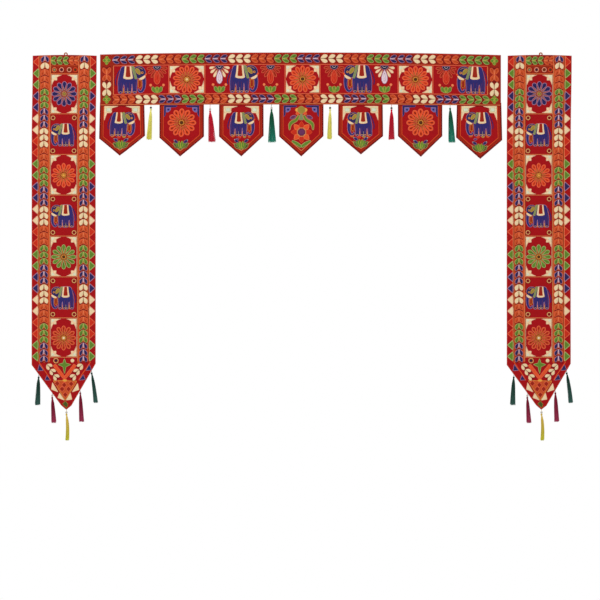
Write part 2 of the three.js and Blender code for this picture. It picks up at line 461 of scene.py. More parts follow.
def leaf(start: complex, end: complex, width: float, widest: float = 0.6,
         bow: float = 0.0, round_by: float = 0.75, steps: int = 6) -> Outline:
    """A leaf or petal between two points.

    Args:
        start, end: Its two ends.
        width: How wide it is.
        widest: Where it is widest, as a share of its length.
        bow: How far its middle line bends to the left.
        round_by: Below 1 its ends are rounder, and above 1 more pointed.
        steps: How many short lines make each side.

    Returns:
        Its outline.
    """
    along = end - start
    side = along / abs(along) * 1j
    power = math.log(0.5) / math.log(widest)

    def edge(sign: int, k: int) -> complex:
        """A place on one of its two sides.

        Args:
            sign: Which side, 1 or -1.
            k: Its number from the start.

        Returns:
            The place.
        """
        t = 0.5 - 0.5 * math.cos(math.pi * k / steps)
        half = width / 2 * max(0.0, math.sin(math.pi * t ** power)) ** round_by
        return start + along * t + side * (bow * math.sin(math.pi * t) + sign * half)

    there = [edge(-1, k) for k in range(steps + 1)]
    return there + [edge(1, k) for k in range(steps - 1, 0, -1)]


def circle(centre: complex, radius: float, steps: int = 14) -> Outline:
    """A round outline about a centre."""
    return [centre + cmath.rect(radius, 2 * math.pi * k / steps) for k in range(steps)]


def aim(degrees: float) -> complex:
    """The direction at an angle, as a step of 1."""
    return cmath.rect(1, math.radians(degrees))


def angle_of(way: complex) -> float:
    """The angle of a direction, in degrees."""
    return math.degrees(cmath.phase(way))


def to_side(side: int, *places: complex) -> Outline:
    """Places written for the right side, moved to the left one where side is -1."""
    return [complex(side * place.real, place.imag) for place in places]


def ribbon(path: Sequence[complex], widths: Sequence[float], steps: int = 3) -> Outline:
    """A stroke along a smooth path, with a width at each of its points.

    Args:
        path: The places that its middle line goes through.
        widths: Its width at each place.
        steps: How many short lines go between two places.

    Returns:
        Its outline.
    """
    line = smooth(path, closed=False, steps=steps)
    halves = np.interp(np.arange(len(line)) / steps, np.arange(len(widths)), widths) / 2
    left, right = [], []
    for index, place in enumerate(line):
        ahead = line[min(index + 1, len(line) - 1)] - line[max(index - 1, 0)]
        side = ahead / abs(ahead) * 1j * float(halves[index])
        left.append(place + side)
        right.append(place - side)
    return right + left[::-1]


@dataclass
class Fill:
    """An outline filled with rows of stitches, which run at an angle in degrees."""

    thread: Thread
    outline: Outline
    rows: float = 90.0
    level: int = 0


@dataclass
class Line:
    """A single row of chain stitches along a path."""

    thread: Thread
    path: Outline
    width: float = 1.5
    closed: bool = False
    level: int = 0


@dataclass
class Embroidery:
    """The fills and lines of a motif or of a whole cloth."""

    fills: list[Fill] = field(default_factory=list)
    lines: list[Line] = field(default_factory=list)

    def fill(self, thread: Thread, outline: Outline, rows: float = 90.0, level: int = 0,
             edge: Thread | None = None, width: float = 1.5) -> None:
        """Adds a fill, and a line around it where it has an edge.

        Args:
            thread: The thread of the rows.
            outline: The shape.
            rows: The angle of the rows, in degrees.
            level: How many fills lie under it.
            edge: The thread of the line around it.
            width: How wide that line is.
        """
        self.fills.append(Fill(thread, outline, rows, level))
        if edge:
            self.lines.append(Line(edge, outline, width, True, level))

    def line(self, thread: Thread, path: Outline, width: float = 1.5,
             closed: bool = False, level: int = 0) -> None:
        """Adds a line of stitches."""
        self.lines.append(Line(thread, path, width, closed, level))

    def bar(self, thread: Thread, half: float, below: float, width: float) -> None:
        """Adds a level line, half of it on each side of the origin."""
        self.line(thread, [complex(-half, -below), complex(half, -below)], width)

    def post(self, thread: Thread, x: float, top: float, foot: float, width: float) -> None:
        """Adds an upright line. Its top and foot are distances below the origin."""
        self.line(thread, [complex(x, -top), complex(x, -foot)], width)

    def place(self, motif: "Motif", at: complex, turn: float = 0.0,
              size: float = 1.0, mirrored: bool = False) -> None:
        """Adds a whole motif at a place.

        Args:
            motif: What is added.
            at: Where its own origin goes.
            turn: How far it is turned to the left, in degrees.
            size: How large it is beside its own size.
            mirrored: Whether its left and right change places first.
        """
        drawn = Embroidery()
        motif.draw(drawn)
        spin = cmath.rect(size, math.radians(turn))

        def moved(path: Outline) -> Outline:
            """A path in its new place."""
            return [at + spin * (-p.conjugate() if mirrored else p) for p in path]

        for one in drawn.fills:
            rows = (180 - one.rows if mirrored else one.rows) + turn
            self.fills.append(Fill(one.thread, moved(one.outline), rows, one.level))
        for one in drawn.lines:
            self.lines.append(Line(one.thread, moved(one.path), one.width, one.closed, one.level))


class Motif:
    """A design about its own origin."""

    def draw(self, done: Embroidery) -> None:
        """Adds its fills and lines. Each kind of motif has its own."""
        raise NotImplementedError


@dataclass(frozen=True)
class LeafStyle:
    """A colourway of the borders, the width of a leaf pair's spine, and how full its leaves are."""

    fill: Thread
    edge: Thread
    spine: Thread
    vein: Thread
    spine_width: float
    full: float


class LeafColour(Enum):
    """The four colourways of the borders."""

    NAVY = LeafStyle(Thread.NAVY, Thread.LILAC, Thread.PEARL, Thread.INK, 2.4, 0.76)
    CREAM = LeafStyle(Thread.CREAM, Thread.ROSE, Thread.SAGE, Thread.CREAM, 1.3, 1.0)
    ORANGE = LeafStyle(Thread.BRICK, Thread.CORAL, Thread.APRICOT, Thread.RUST, 2.3, 0.9)
    GREEN = LeafStyle(Thread.GREEN, Thread.MINT, Thread.LIME, Thread.MOSS, 2.0, 0.84)


@dataclass(frozen=True)
class LeafPair(Motif):
    """Two border leaves that grow from one point, which looks to the left."""

    colour: LeafColour
    length: float = 17.5
    height: float = 21.0

    def draw(self, done: Embroidery) -> None:
        """Adds the leaves with their veins, the spine between them, and a dark arc behind them, painted shade
        in the gap to the next pair.

        Args:
            done: The embroidery it goes to.
        """
        style = self.colour.value
        tip = -self.length / 2
        for side in (1, -1):
            start = complex(tip, side * (0.5 + style.spine_width * 0.25))
            end = complex(tip + self.length * (0.86 + 0.14 * style.full), side * self.height * 0.37)
            width = self.height * 0.46 * style.full
            lobe = leaf(start, end, width, 0.62, bow=side * self.height * 0.06, round_by=0.62)
            edge_width = 1.0 if style.full == 1 else 1.7
            done.fill(style.fill, lobe, angle_of(end - start), edge=style.edge, width=edge_width)
            if style.vein != style.fill:
                vein = [start + (end - start) * share for share in (0.45, 0.85)]
                done.line(style.vein, vein, 1.9, level=1)
        spine = [complex(tip, 0), complex(tip + self.length * 0.74, 0)]
        done.line(style.spine, spine, style.spine_width, level=1)
        # A wine arc behind the leaves: painted shade in the gap to the next pair.
        far, reach = tip + self.length, self.height * 0.46
        shade_arc = [complex(far + 2.2, reach), complex(far - 1.5, 0), complex(far + 2.2, -reach)]
        done.line(Thread.WINE, smooth(shade_arc, closed=False), 2.4)


@dataclass(frozen=True)
class Triangle(Motif):
    """A border triangle that points to the left, from a base on the right."""

    colour: LeafColour
    depth: float = 13.6
    height: float = 22.5

    def draw(self, done: Embroidery) -> None:
        """Adds the triangle with its edge. The orange ones are vermilion inside.

        Args:
            done: The embroidery it goes to.
        """
        style = self.colour.value
        fill = Thread.VERMILION if self.colour is LeafColour.ORANGE else style.fill
        half = self.height / 2
        outline = [complex(-self.depth, 0), complex(-1, -half), complex(0.6, -half * 0.5),
                   complex(0.6, half * 0.5), complex(-1, half)]
        done.fill(fill, outline, 0, edge=style.edge, width=3.0)


@dataclass(frozen=True)
class Ring(Motif):
    """A small round eye between the rows."""

    radius: float = 4.7
    edge: Thread = Thread.STRAW
    middle: Thread = Thread.UMBER

    def draw(self, done: Embroidery) -> None:
        """Adds the ground, the ring and its dark middle.

        Args:
            done: The embroidery it goes to.
        """
        done.fill(Thread.RUST, circle(0, self.radius * 1.5, 14), 0)
        done.fill(self.middle, circle(0, self.radius * 0.55, 10), 0, level=1)
        done.line(self.edge, circle(0, self.radius, 14), 2.1, closed=True, level=1)


@dataclass(frozen=True)
class Quatrefoil(Motif):
    """Four leaves about a centre, in the corners of the band."""

    reach: float = 11.0
    narrow: float = 0.85

    def draw(self, done: Embroidery) -> None:
        """Adds the four leaves, and a line down the middle.

        Args:
            done: The embroidery it goes to.
        """
        for quarter, share in enumerate((self.narrow, 1.0, self.narrow, 1.0)):
            way = aim(90 * quarter)
            outline = leaf(way * 0.8, way * self.reach * share, self.reach * 0.75, 0.55)
            done.fill(Thread.GREEN, outline, 90 * quarter, edge=Thread.LIME, width=1.4)
        done.line(Thread.LIME, [complex(0, -self.reach), complex(0, self.reach)], 1.5, level=1)


@dataclass(frozen=True)
class Rosette(Motif):
    """A round flower of looped petals."""

    radius: float
    petals: int = 12
    fill: Thread = Thread.ORANGE
    edge: Thread = Thread.CORAL
    star: Thread = Thread.GOLD
    centre: Thread = Thread.UMBER
    slim: float = 0.7
    loops: Thread | None = None
    turn: float = 90.0

    def draw(self, done: Embroidery) -> None:
        """Adds the petals, the rays between them, and the ring in the middle.

        Args:
            done: The embroidery it goes to.
        """
        width = 2 * self.radius * math.sin(math.pi / self.petals) * self.slim
        for number in range(self.petals):
            angle = self.turn + 360 * number / self.petals
            way = aim(angle)
            between = way * cmath.rect(1, math.pi / self.petals)
            outline = leaf(way * self.radius * 0.24, way * self.radius, width, 0.76, round_by=0.72)
            done.fill(self.fill, outline, angle, edge=self.edge, width=2.4)
            if self.loops:
                loop = leaf(way * self.radius * 0.64, way * self.radius * 0.91, width * 0.38, 0.6)
                done.fill(self.loops, loop, angle, level=1)
            ray = [between * self.radius * 0.2, between * self.radius * 0.56]
            done.line(self.star, ray, 1.3, level=1)
        done.fill(self.centre, circle(0, self.radius * 0.11, 10), 0, level=1)
        done.line(self.star, circle(0, self.radius * 0.16, 14), 2.2, closed=True, level=2)


@dataclass(frozen=True)
class HalfFlower(Motif):
    """A flower that hangs from the top of its panel, over a sprout. Its origin is the panel's top."""

    petal: Thread = Thread.RUST
    petal_edge: Thread = Thread.CORAL
    bud: Thread = Thread.VERMILION
    bud_edge: Thread = Thread.CORAL
    height: float = 69.0

    def draw(self, done: Embroidery) -> None:
        """Adds the fan of petals, the middle bud, the eye, and the sprout with its two buds.

        Args:
            done: The embroidery it goes to.
        """
        for side in (1, -1):
            for angle, reach in ((-13, 26), (-38, 28), (-63, 31.5)):
                way = to_side(side, aim(angle))[0]
                petal = leaf(way * 9.5 - 2j, way * reach - 2j, 6.4, 0.72, round_by=0.6)
                done.fill(self.petal, petal, angle_of(way), edge=self.petal_edge, width=1.8)
        bud = leaf(-12j, -47j, 15.5, 0.62, round_by=0.55)
        done.fill(self.bud, bud, 90, level=1, edge=self.bud_edge, width=2.3)
        done.fill(self.bud, leaf(-19j, -41j, 6, 0.6), 90, level=2, edge=self.bud_edge, width=1.1)
        eye = [cmath.rect(9.6, math.radians(180 + 15 * k)) - 1.5j for k in range(13)]
        done.fill(Thread.INK, eye, 0, level=2, edge=Thread.LILAC, width=1.7)
        done.line(Thread.PEARL, [p * 0.45 - 1.5j for p in eye[1:-1]], 1.4, level=3)
        self.sprout(done)

    def sprout(self, done: Embroidery) -> None:
        """Adds the leaves that grow from the panel's foot, and their buds.

        Args:
            done: The embroidery it goes to.
        """
        foot = -self.height * 1j
        done.fill(Thread.GREEN, leaf(foot, -53j, 10, 0.55), 90, level=1, edge=Thread.LIME, width=1.2)
        for side in (1, -1):
            outer = leaf(foot + side * 1.2, complex(side * 11.2, -53), 8.8, 0.62, bow=-side * 2.2)
            done.fill(Thread.GREEN, outer, 90, edge=Thread.MINT, width=1.5)
            vein = [foot + side * 0.8 + 1j, complex(side * 4.2, -54)]
            done.line(Thread.LIME, vein, 1.6, level=2)
            stem = [foot + side * 3, *to_side(side, 10.5 - 62.5j, 14 - 56.5j, 15.8 - 50j)]
            done.line(Thread.TAN, smooth(stem, closed=False), 1.3)
            bud = circle(complex(side * 16, -49), 3.2, 9)
            done.fill(Thread.APRICOT, bud, 45, level=1, edge=Thread.CORAL, width=1.5)


@dataclass(frozen=True)
class Elephant(Motif):
    """A caparisoned elephant that walks to the right. Its origin is the middle of its top."""

    ground: float = -68.0

    def draw(self, done: Embroidery) -> None:
        """Adds the elephant from its tail to its saddle cloth.

        Args:
            done: The embroidery it goes to.
        """
        self.body(done)
        self.head(done)
        self.saddle(done)

    def body(self, done: Embroidery) -> None:
        """Adds the tail, the body with its four legs, their folds and toes, and what shows between.

        Args:
            done: The embroidery it goes to.
        """
        tail = smooth([-28 - 10j, -34 - 22j, -38.5 - 38j, -37 - 49j], closed=False)
        done.line(Thread.INDIGO, tail, 3.0)
        sole = self.ground * 1j
        back = [-20 - 1j, -26 - 9j, -30 - 24j, -32.5 - 40j]
        hind = [-32 - 54j, -31 + sole, -21.5 + sole, -20 - 56j, -18 - 46j]
        second = [-15.5 - 56j, -15 + sole, -8.6 + sole, -8 - 54j]
        third = [-7 + sole, 0.5 + sole, 1.5 - 54j, 2.8 - 45j]
        fore = [4.2 - 56j, 5 + sole, 14 + sole, 15 - 52j, 16 - 36j]
        chest = [14.5 - 22j, 10 - 10j, 6 - 1j]
        outline = smooth(back + hind + second + third + fore + chest, steps=2)
        done.fill(Thread.INDIGO, outline, 90, edge=Thread.LILAC, width=1.7)
        for fold in (-28 - 20j, -23 - 42j, -12 - 42j, -3.5 - 42j, 11 - 40j):
            done.line(Thread.PLUM, [fold, complex(fold.real + 0.6, -62)], 1.4, level=1)
        for x in (-26, -11.8, -3.2, 9.5):
            toes = smooth([complex(x - 4, -67), complex(x, -64.5), complex(x + 4, -67)], closed=False)
            done.line(Thread.GOLD, toes, 1.6, level=1)
            done.line(Thread.INK, [complex(x - 3, -61), complex(x + 3, -61)], 1.5, level=1)
        for x, thread in ((-18.2, Thread.GOLD), (-7.6, Thread.LIME), (2.7, Thread.APRICOT)):
            done.line(thread, [complex(x - 0.6, -69), complex(x, -56)], 1.9)

    def head(self, done: Embroidery) -> None:
        """Adds the trunk, the head with its ear and eye, the neck band and the tusk.

        Args:
            done: The embroidery it goes to.
        """
        trunk = ribbon([26 - 18j, 32 - 32j, 33.5 - 46j, 31.5 - 58j, 26.5 - 65j, 20.5 - 64j, 19 - 58j],
                       [13, 9.6, 7.6, 6.8, 5.8, 4.6, 3])
        done.fill(Thread.INDIGO, trunk, 90, edge=Thread.LILAC, width=1.6)
        patch = [18.5 - 37j, 26 - 37j, 26 - 52j, 22 - 56j, 18.5 - 52j]
        done.fill(Thread.RUST, patch, 90, edge=Thread.GOLD, width=1.5)
        skull = smooth([7 - 10j, 13 - 2.5j, 24 - 1.5j, 33 - 7j, 36.5 - 18j, 31 - 29j, 20 - 32j, 12 - 27j])
        done.fill(Thread.NAVY, skull, 90, level=1, edge=Thread.LILAC, width=1.5)
        done.line(Thread.GOLD, [17 - 4.5j, 24 - 5.5j, 29 - 9j], 1.5, level=2)
        ear = leaf(12.5 - 6j, 23 - 22j, 9.5, 0.5, round_by=0.7)
        done.fill(Thread.OLIVE, ear, 60, level=2, edge=Thread.GOLD, width=1.6)
        done.fill(Thread.APRICOT, circle(28.5 - 17.5j, 3.0, 10), 0, level=2, edge=Thread.OLIVE, width=1.3)
        done.fill(Thread.INK, circle(28.8 - 17.3j, 1.5, 8), 0, level=3)
        tusk = leaf(19.5 - 34j, 37 - 24j, 6.4, 0.5, bow=-2.5, round_by=0.6)
        done.fill(Thread.CREAM, tusk, 20, level=2, edge=Thread.ROSE, width=1.2)
        done.fill(Thread.ORANGE, leaf(34 - 26.5j, 40.5 - 19j, 4.6, 0.5), 40, level=2)

    def saddle(self, done: Embroidery) -> None:
        """Adds the saddle cloth with its pale border, and the band about the neck.

        Args:
            done: The embroidery it goes to.
        """
        outer = [-15 - 0.8j, -16.5 - 16j, -19 - 31j, -11 - 33.5j, -1 - 33.5j, 5 - 31j, 2.5 - 16j, 0.5 - 0.8j]
        done.fill(Thread.CREAM, outer, 90, level=1, edge=Thread.ROSE, width=1.2)
        inner = [-11 - 1.2j, -11.8 - 15j, -13 - 27j, -7 - 28j, -1 - 27j, -2.4 - 15j, -3.4 - 1.2j]
        done.fill(Thread.RUST, inner, 90, level=2, edge=Thread.VERMILION, width=1.4)
        band = ribbon([4.5 - 1.5j, 8 - 15j, 13 - 33j], [6.5, 5.5, 5])
        done.fill(Thread.SAGE, band, 110, level=2, edge=Thread.LIME, width=1.2)


@dataclass(frozen=True)
class CornerCloud(Motif):
    """A pale corner about an oval. Its origin is the top left corner of a box, which it fills."""

    across: float = 33.0
    down: float = 40.0
    inset: float = 0.6

    def oval(self, degrees: float) -> complex:
        """A place on the oval that the corner leaves free."""
        angle = math.radians(degrees)
        return complex(self.across * (1 - math.cos(angle)), -self.down * (1 - math.sin(angle)))

    def above(self, degrees: float) -> complex:
        """The place at the box's top over a place on the oval."""
        return complex(self.oval(degrees).real, -self.inset)

    def beside(self, degrees: float) -> complex:
        """The place at the box's side beside a place on the oval."""
        return complex(self.inset, self.oval(degrees).imag)

    def draw(self, done: Embroidery) -> None:
        """Adds the corner with its curved side, a faint square and a small lobe.

        Args:
            done: The embroidery it goes to.
        """
        oval = self.oval
        block = [self.inset * (1 - 1j), self.above(52), oval(52), oval(45), oval(38), self.beside(38)]
        upper = [self.above(52), self.above(76), oval(74), oval(64), oval(52)]
        lower = [self.beside(38), oval(38), oval(26), oval(16), self.beside(14)]
        for outline in (block, upper, lower):
            done.fill(Thread.CREAM, outline, 90)
        rim = [oval(degrees) for degrees in (76, 64, 52, 45, 38, 26, 14)]
        done.line(Thread.ROSE, rim, 2.0, level=1)
        square = [3.2 - 3.2j, 8.2 - 3.2j, 8.2 - 8.2j, 3.2 - 8.2j]
        done.fill(Thread.CELADON, square, 0, level=1, edge=Thread.CELADON, width=1.2)
        middle = complex(self.across * 0.31, -self.down * 0.31)
        lobe = [middle + corner for corner in (-3.6 + 3.6j, 3 + 3.6j, 3.6 - 3.6j, -3 - 3.6j)]
        done.fill(Thread.CREAM, lobe, 45, level=1, edge=Thread.ROSE, width=1.7)


def clouds(done: Embroidery, centre: complex, half_width: float, half_height: float,
           corner: CornerCloud = CornerCloud()) -> None:
    """Puts a pale corner in each corner of a box.

    Args:
        done: The embroidery that they go to.
        centre: The middle of the box.
        half_width, half_height: Half of its size.
        corner: The kind of corner.
    """
    for turn in (0, 180):
        place = complex(-half_width, half_height) * (1 if turn == 0 else -1)
        done.place(corner, centre + place, turn)
        done.place(corner, centre - place.conjugate(), turn, mirrored=True)


@dataclass(frozen=True)
class Sprig(Motif):
    """Six leaves that spread from a point, with a dark bud on each side. Its origin is its foot."""

    reach: float
    half: float
    buds: float

    def draw(self, done: Embroidery) -> None:
        """Adds the leaves and the buds.

        Args:
            done: The embroidery it goes to.
        """
        kite = [-2.6j, 7 + 3.6j, 7.5j, -7 + 3.6j]
        done.fill(Thread.MOSS, kite, 90, edge=Thread.OLIVE, width=1.3)
        blades = (
            (1.0, 0.8, 6.6, Thread.MOSS, Thread.MINT),
            (0.6, 0.98, 7.2, Thread.GREEN, Thread.SAGE),
            (0.2, 1.06, 5.2, Thread.GREEN, Thread.LIME),
        )
        for side in (1, -1):
            for level, (across, up, wide, fill, edge) in enumerate(blades, 1):
                end = complex(side * self.half * across, self.reach * up)
                blade = leaf(side * 0.8 + 0j, end, wide, 0.6, bow=-side * 2.6 * across)
                done.fill(fill, blade, angle_of(end), level, edge, 1.4)
            start = complex(side * 7.2, self.buds - 3.4)
            end = complex(side * 17.4, self.buds + 3.8)
            bud = leaf(start, end, 7, 0.5, round_by=0.7)
            done.fill(Thread.NAVY, bud, 60, level=3, edge=Thread.LILAC, width=1.3)
            done.line(Thread.CELADON, [end - (end - start) * 0.2, end], 1.6, level=4)


@dataclass(frozen=True)
class Bracket(Motif):
    """A navy corner with a lilac square. Its origin is the corner, at the top left."""

    across: float = 33.0
    down: float = 28.5
    arm: float = 3.6

    def draw(self, done: Embroidery) -> None:
        """Adds the two arms of the corner, and the square inside it.

        Args:
            done: The embroidery it goes to.
        """
        thick = self.arm
        arms = [0j, complex(self.across, 0), complex(self.across - 3, -thick), complex(thick + 1, -thick - 1),
                complex(thick, -self.down + 6), complex(0, -self.down)]
        done.fill(Thread.NAVY, arms, 90, edge=Thread.PERIWINKLE, width=1.2)
        square = [5 - 5j, 16.5 - 5j, 16 - 11j, 11 - 16j, 5.4 - 16.5j]
        done.fill(Thread.PERIWINKLE, square, 90, level=1, edge=Thread.LILAC, width=1.6)
        done.fill(Thread.NAVY, circle(10.6 - 10j, 2.7, 9), 0, level=2)


@dataclass(frozen=True)
class PaleCorner(Motif):
    """The stepped pale corner left of a pendant's canopy. Its origin is the pendant's top."""

    side: float = -44.0

    def draw(self, done: Embroidery) -> None:
        """Adds its three steps, their rim, and a faint square.

        Args:
            done: The embroidery it goes to.
        """
        side = self.side
        for outline in (
            [side - 2.4j, -9 - 2.4j, -15 - 4.2j, -25 - 7.5j, side - 7.5j],
            [side - 7.7j, -25 - 7.7j, -25 - 17j, -27 - 19.5j, side - 19.5j],
            [side - 19.7j, -36.5 - 19.7j, -39.6 - 27j, side - 38j],
        ):
            done.fill(Thread.CREAM, outline, 90)
        rim = [-10 - 3j, -25 - 7.6j, -25 - 17j, -27 - 19.5j, -36.5 - 19.7j, -39.6 - 27j, -43.4 - 38j]
        done.line(Thread.ROSE, rim, 1.8, level=1)
        square = [-38.5 - 7.6j, -28 - 7.6j, -28 - 16j, -38.5 - 16j]
        done.fill(Thread.CELADON, square, 90, level=1, edge=Thread.MINT, width=1.3)


@dataclass(frozen=True)
class HungFlower(Motif):
    """A flower that hangs on two arms from a bud, in the middle pendant. Its origin is the top."""

    middle: complex = 0.6 - 67.6j
    reach: float = 26.5
    petals: int = 8

    def draw(self, done: Embroidery) -> None:
        """Adds the arms and what grows on them, the bud and its stem, and the flower.

        Args:
            done: The embroidery it goes to.
        """
        for side in (1, -1):
            self.half(done, side)
        bud = leaf(-2.5j, -22j, 20, 0.5, round_by=0.6)
        done.fill(Thread.OLIVE, bud, 90, level=1, edge=Thread.TAN, width=1.8)
        stem = [-2.5 - 21j, -5.5 - 37j, 5.5 - 37j, 2.5 - 21j]
        done.fill(Thread.SAGE, stem, 90, edge=Thread.TAN, width=1.5)
        colours = ((Thread.VERMILION, Thread.ORANGE), (Thread.ORANGE, Thread.APRICOT))
        for number in range(self.petals):
            way = cmath.rect(1, math.pi * number / 4)
            fill, edge = colours[number % 2]
            petal = leaf(self.middle + way * 9, self.middle + way * self.reach, 13, 0.4, round_by=0.9)
            done.fill(fill, petal, 45 * number, edge=edge, width=1.9)
        done.fill(Thread.PLUM, circle(self.middle, 8, 14), 0, level=1, edge=Thread.NAVY, width=1.4)
        done.line(Thread.TAN, circle(self.middle, 10.8, 18), 2.8, True, 1)

    @staticmethod
    def half(done: Embroidery, side: int) -> None:
        """Adds an arm, its berry, leaf and bud, and half of the chevron at the foot.

        Args:
            done: The embroidery that they go to.
            side: 1 on the right and -1 on the left.
        """
        spine = to_side(side, 6 - 26j, 12.7 - 37j, 21.6 - 42j, 28 - 48.5j, 29.3 - 62j)
        done.fill(Thread.GREEN, ribbon(spine, [5, 7, 8.4, 7.6, 2.4]), 60, edge=Thread.TAN, width=2.3)
        berry = circle(complex(side * 10.5, -12), 5.0, 11)
        done.fill(Thread.GOLD, berry, 40, edge=Thread.BRICK, width=1.7)
        below = leaf(*to_side(side, 4 - 17j, 13 - 23j), 7.4, 0.55, round_by=0.65)
        done.fill(Thread.ORANGE, below, 40, edge=Thread.APRICOT, width=1.5)
        bud = leaf(*to_side(side, 13.5 - 27j, 28 - 33.5j), 8.4, 0.5, round_by=0.65)
        done.fill(Thread.PLUM, bud, 20, edge=Thread.LILAC, width=1.7)
        chevron = ribbon(to_side(side, 0.4 - 104j, 12 - 96j, 23 - 90j), [6, 7.6, 4])
        done.fill(Thread.GREEN, chevron, 30, edge=Thread.MINT, width=1.9)


@dataclass(frozen=True)
class Cord:
    """A path of places that a round cord follows, with its radius at each place."""

    path: Sequence[tuple[float, float, float]]
    radii: Sequence[float]
    closed: bool = False
    slot: int = 0

    def moved(self, by: Sequence[float]) -> "Cord":
        """The same cord in another place."""
        return replace(self, path=[tuple(a + b for a, b in zip(place, by)) for place in self.path])


def corded(name: str, cords: Sequence[Cord], materials: Sequence[bpy.types.Material],
           resolution: int = 0) -> bpy.types.Mesh:
    """Makes one mesh of several cords.

    Args:
        name: Its name.
        cords: The cords.
        materials: The materials that the cords' slots number.
        resolution: How round the cords are. At 0 they have four sides.

    Returns:
        The mesh.
    """
    curve = bpy.data.curves.new(name, "CURVE")
    curve.dimensions = "3D"
    curve.bevel_depth = 1.0
    curve.bevel_resolution = resolution
    curve.use_fill_caps = True
    for material in materials:
        curve.materials.append(material)
    for cord in cords:
        spline = curve.splines.new("POLY")
        spline.use_cyclic_u = cord.closed
        spline.points.add(len(cord.path) - 1)
        spline.points.foreach_set("co", [number for place in cord.path for number in (*place, 1.0)])
        spline.points.foreach_set("radius", cord.radii)
        spline.material_index = cord.slot
    drawn = bpy.data.objects.new(name, curve)
    bpy.context.scene.collection.objects.link(drawn)
    mesh = bpy.data.meshes.new_from_object(drawn)
    bpy.data.objects.remove(drawn)
    return mesh


def meshed(name: str, form: bmesh.types.BMesh) -> bpy.types.Mesh:
    """Turns modelled geometry into a mesh, and frees it.

    Args:
        name: Its name.
        form: The geometry.

    Returns:
        The mesh.
    """
    mesh = bpy.data.meshes.new(name)
    form.to_mesh(mesh)
    form.free()
    return mesh


def in_order(stitched: Sequence[Fill | Line]) -> list[Thread]:
    """The threads that some fills or lines use, by name."""
    return sorted({one.thread for one in stitched}, key=lambda thread: thread.name)


@dataclass(frozen=True)
class StitchMaker:
    """Turns drawn embroidery into raised meshes on a hung cloth.

    A fill starts a little sunk in the cloth. It rises over the cloth's face, by one more level for
    each fill under it, and has a crown inside its shoulder. A line is bedded in its fill, and is
    pinched in between its stitches.
    """

    sunk: float = 0.2
    rise: float = 0.4
    level: float = 0.4
    crown: float = 0.3
    shoulder: float = 0.45
    stitch: float = 3.2
    pinched: float = 0.55
    bedded: float = 0.05

    def stitch_on(self, name: str, work: Embroidery, hang: Hang) -> None:
        """Makes the embroidery of a cloth, its fills as one piece and its lines as another."""
        self.fills(f"{name}_fills", work, hang)
        self.lines(f"{name}_lines", work, hang)

    def fills(self, name: str, work: Embroidery, hang: Hang) -> bpy.types.Object:
        """Makes the raised fills of a cloth.

        Args:
            name: The piece's name.
            work: The embroidery.
            hang: Puts flat places in millimetres where they hang, in metres.

        Returns:
            The joined piece.
        """
        threads = in_order(work.fills)
        form = bmesh.new()
        angle = form.faces.layers.float.new("angle")
        level = form.faces.layers.float.new("level")
        bases = []
        for one in work.fills:
            given = one.outline
            turn = sum((a.conjugate() * b).imag for a, b in zip(given, given[1:] + given[:1]))
            outline = given if turn > 0 else given[::-1]
            base = form.faces.new([form.verts.new((p.real, self.sunk - FRONT, p.imag)) for p in outline])
            base.material_index = threads.index(one.thread)
            base[angle] = one.rows
            base[level] = one.level
            bases.append(base)
        grown = bmesh.ops.extrude_face_region(form, geom=bases, use_keep_orig=True)["geom"]
        tops = [part for part in grown if isinstance(part, bmesh.types.BMFace)]
        for top in tops:
            for corner in top.verts:
                corner.co.y = -FRONT - self.rise - self.level * top[level]
        form.normal_update()
        for depth in (self.crown, self.crown * 0.45):
            bmesh.ops.inset_individual(form, faces=tops, thickness=self.shoulder, depth=depth)
        bmesh.ops.recalc_face_normals(form, faces=form.faces)
        self.lay_rows(form, angle)
        mesh = meshed(name, form)
        for thread in threads:
            mesh.materials.append(filled_with(thread))
        return finished(name, mesh, hang)

    @staticmethod
    def lay_rows(form: bmesh.types.BMesh, angle: object) -> None:
        """Writes the UV map that the rows of stitches follow, in millimetres.

        Args:
            form: The geometry.
            angle: The layer with each face's angle.
        """
        rows = form.loops.layers.uv.new("rows")
        for face in form.faces:
            spin = cmath.rect(1, -math.radians(face[angle]))
            for loop in face.loops:
                place = complex(loop.vert.co.x, loop.vert.co.z) * spin
                loop[rows].uv = (place.real, place.imag)

    def lines(self, name: str, work: Embroidery, hang: Hang) -> bpy.types.Object:
        """Makes the raised lines of a cloth, pinched in between their stitches.

        Args:
            name: The piece's name.
            work: The embroidery.
            hang: Puts flat places in millimetres where they hang, in metres.

        Returns:
            The joined piece.
        """
        threads = in_order(work.lines)
        cords = []
        for one in work.lines:
            path = self.stepped(one.path, one.closed)
            lift = -FRONT - self.rise - self.level * one.level + self.bedded
            radii = [one.width / 2 * (self.pinched if k % 2 else 1.0) for k in range(len(path))]
            spots = [(p.real, lift, p.imag) for p in path]
            cords.append(Cord(spots, radii, one.closed, threads.index(one.thread)))
        mesh = corded(name, cords, [stitched_in(thread) for thread in threads])
        return finished(name, mesh, hang)

    def stepped(self, path: Outline, closed: bool) -> Outline:
        """Divides a path into half stitches of even length.

        Args:
            path: The path.
            closed: Whether it comes back to its start.

        Returns:
            The places between half stitches.
        """
        corners = np.array(path + path[:1] if closed else path)
        run = np.concatenate(([0.0], np.cumsum(np.abs(np.diff(corners)))))
        count = max(2, 2 * round(run[-1] / self.stitch))
        at = np.linspace(0, run[-1], count + 1)
        spots = np.interp(at, run, corners.real) + 1j * np.interp(at, run, corners.imag)
        return [complex(spot) for spot in (spots[:-1] if closed else spots)]


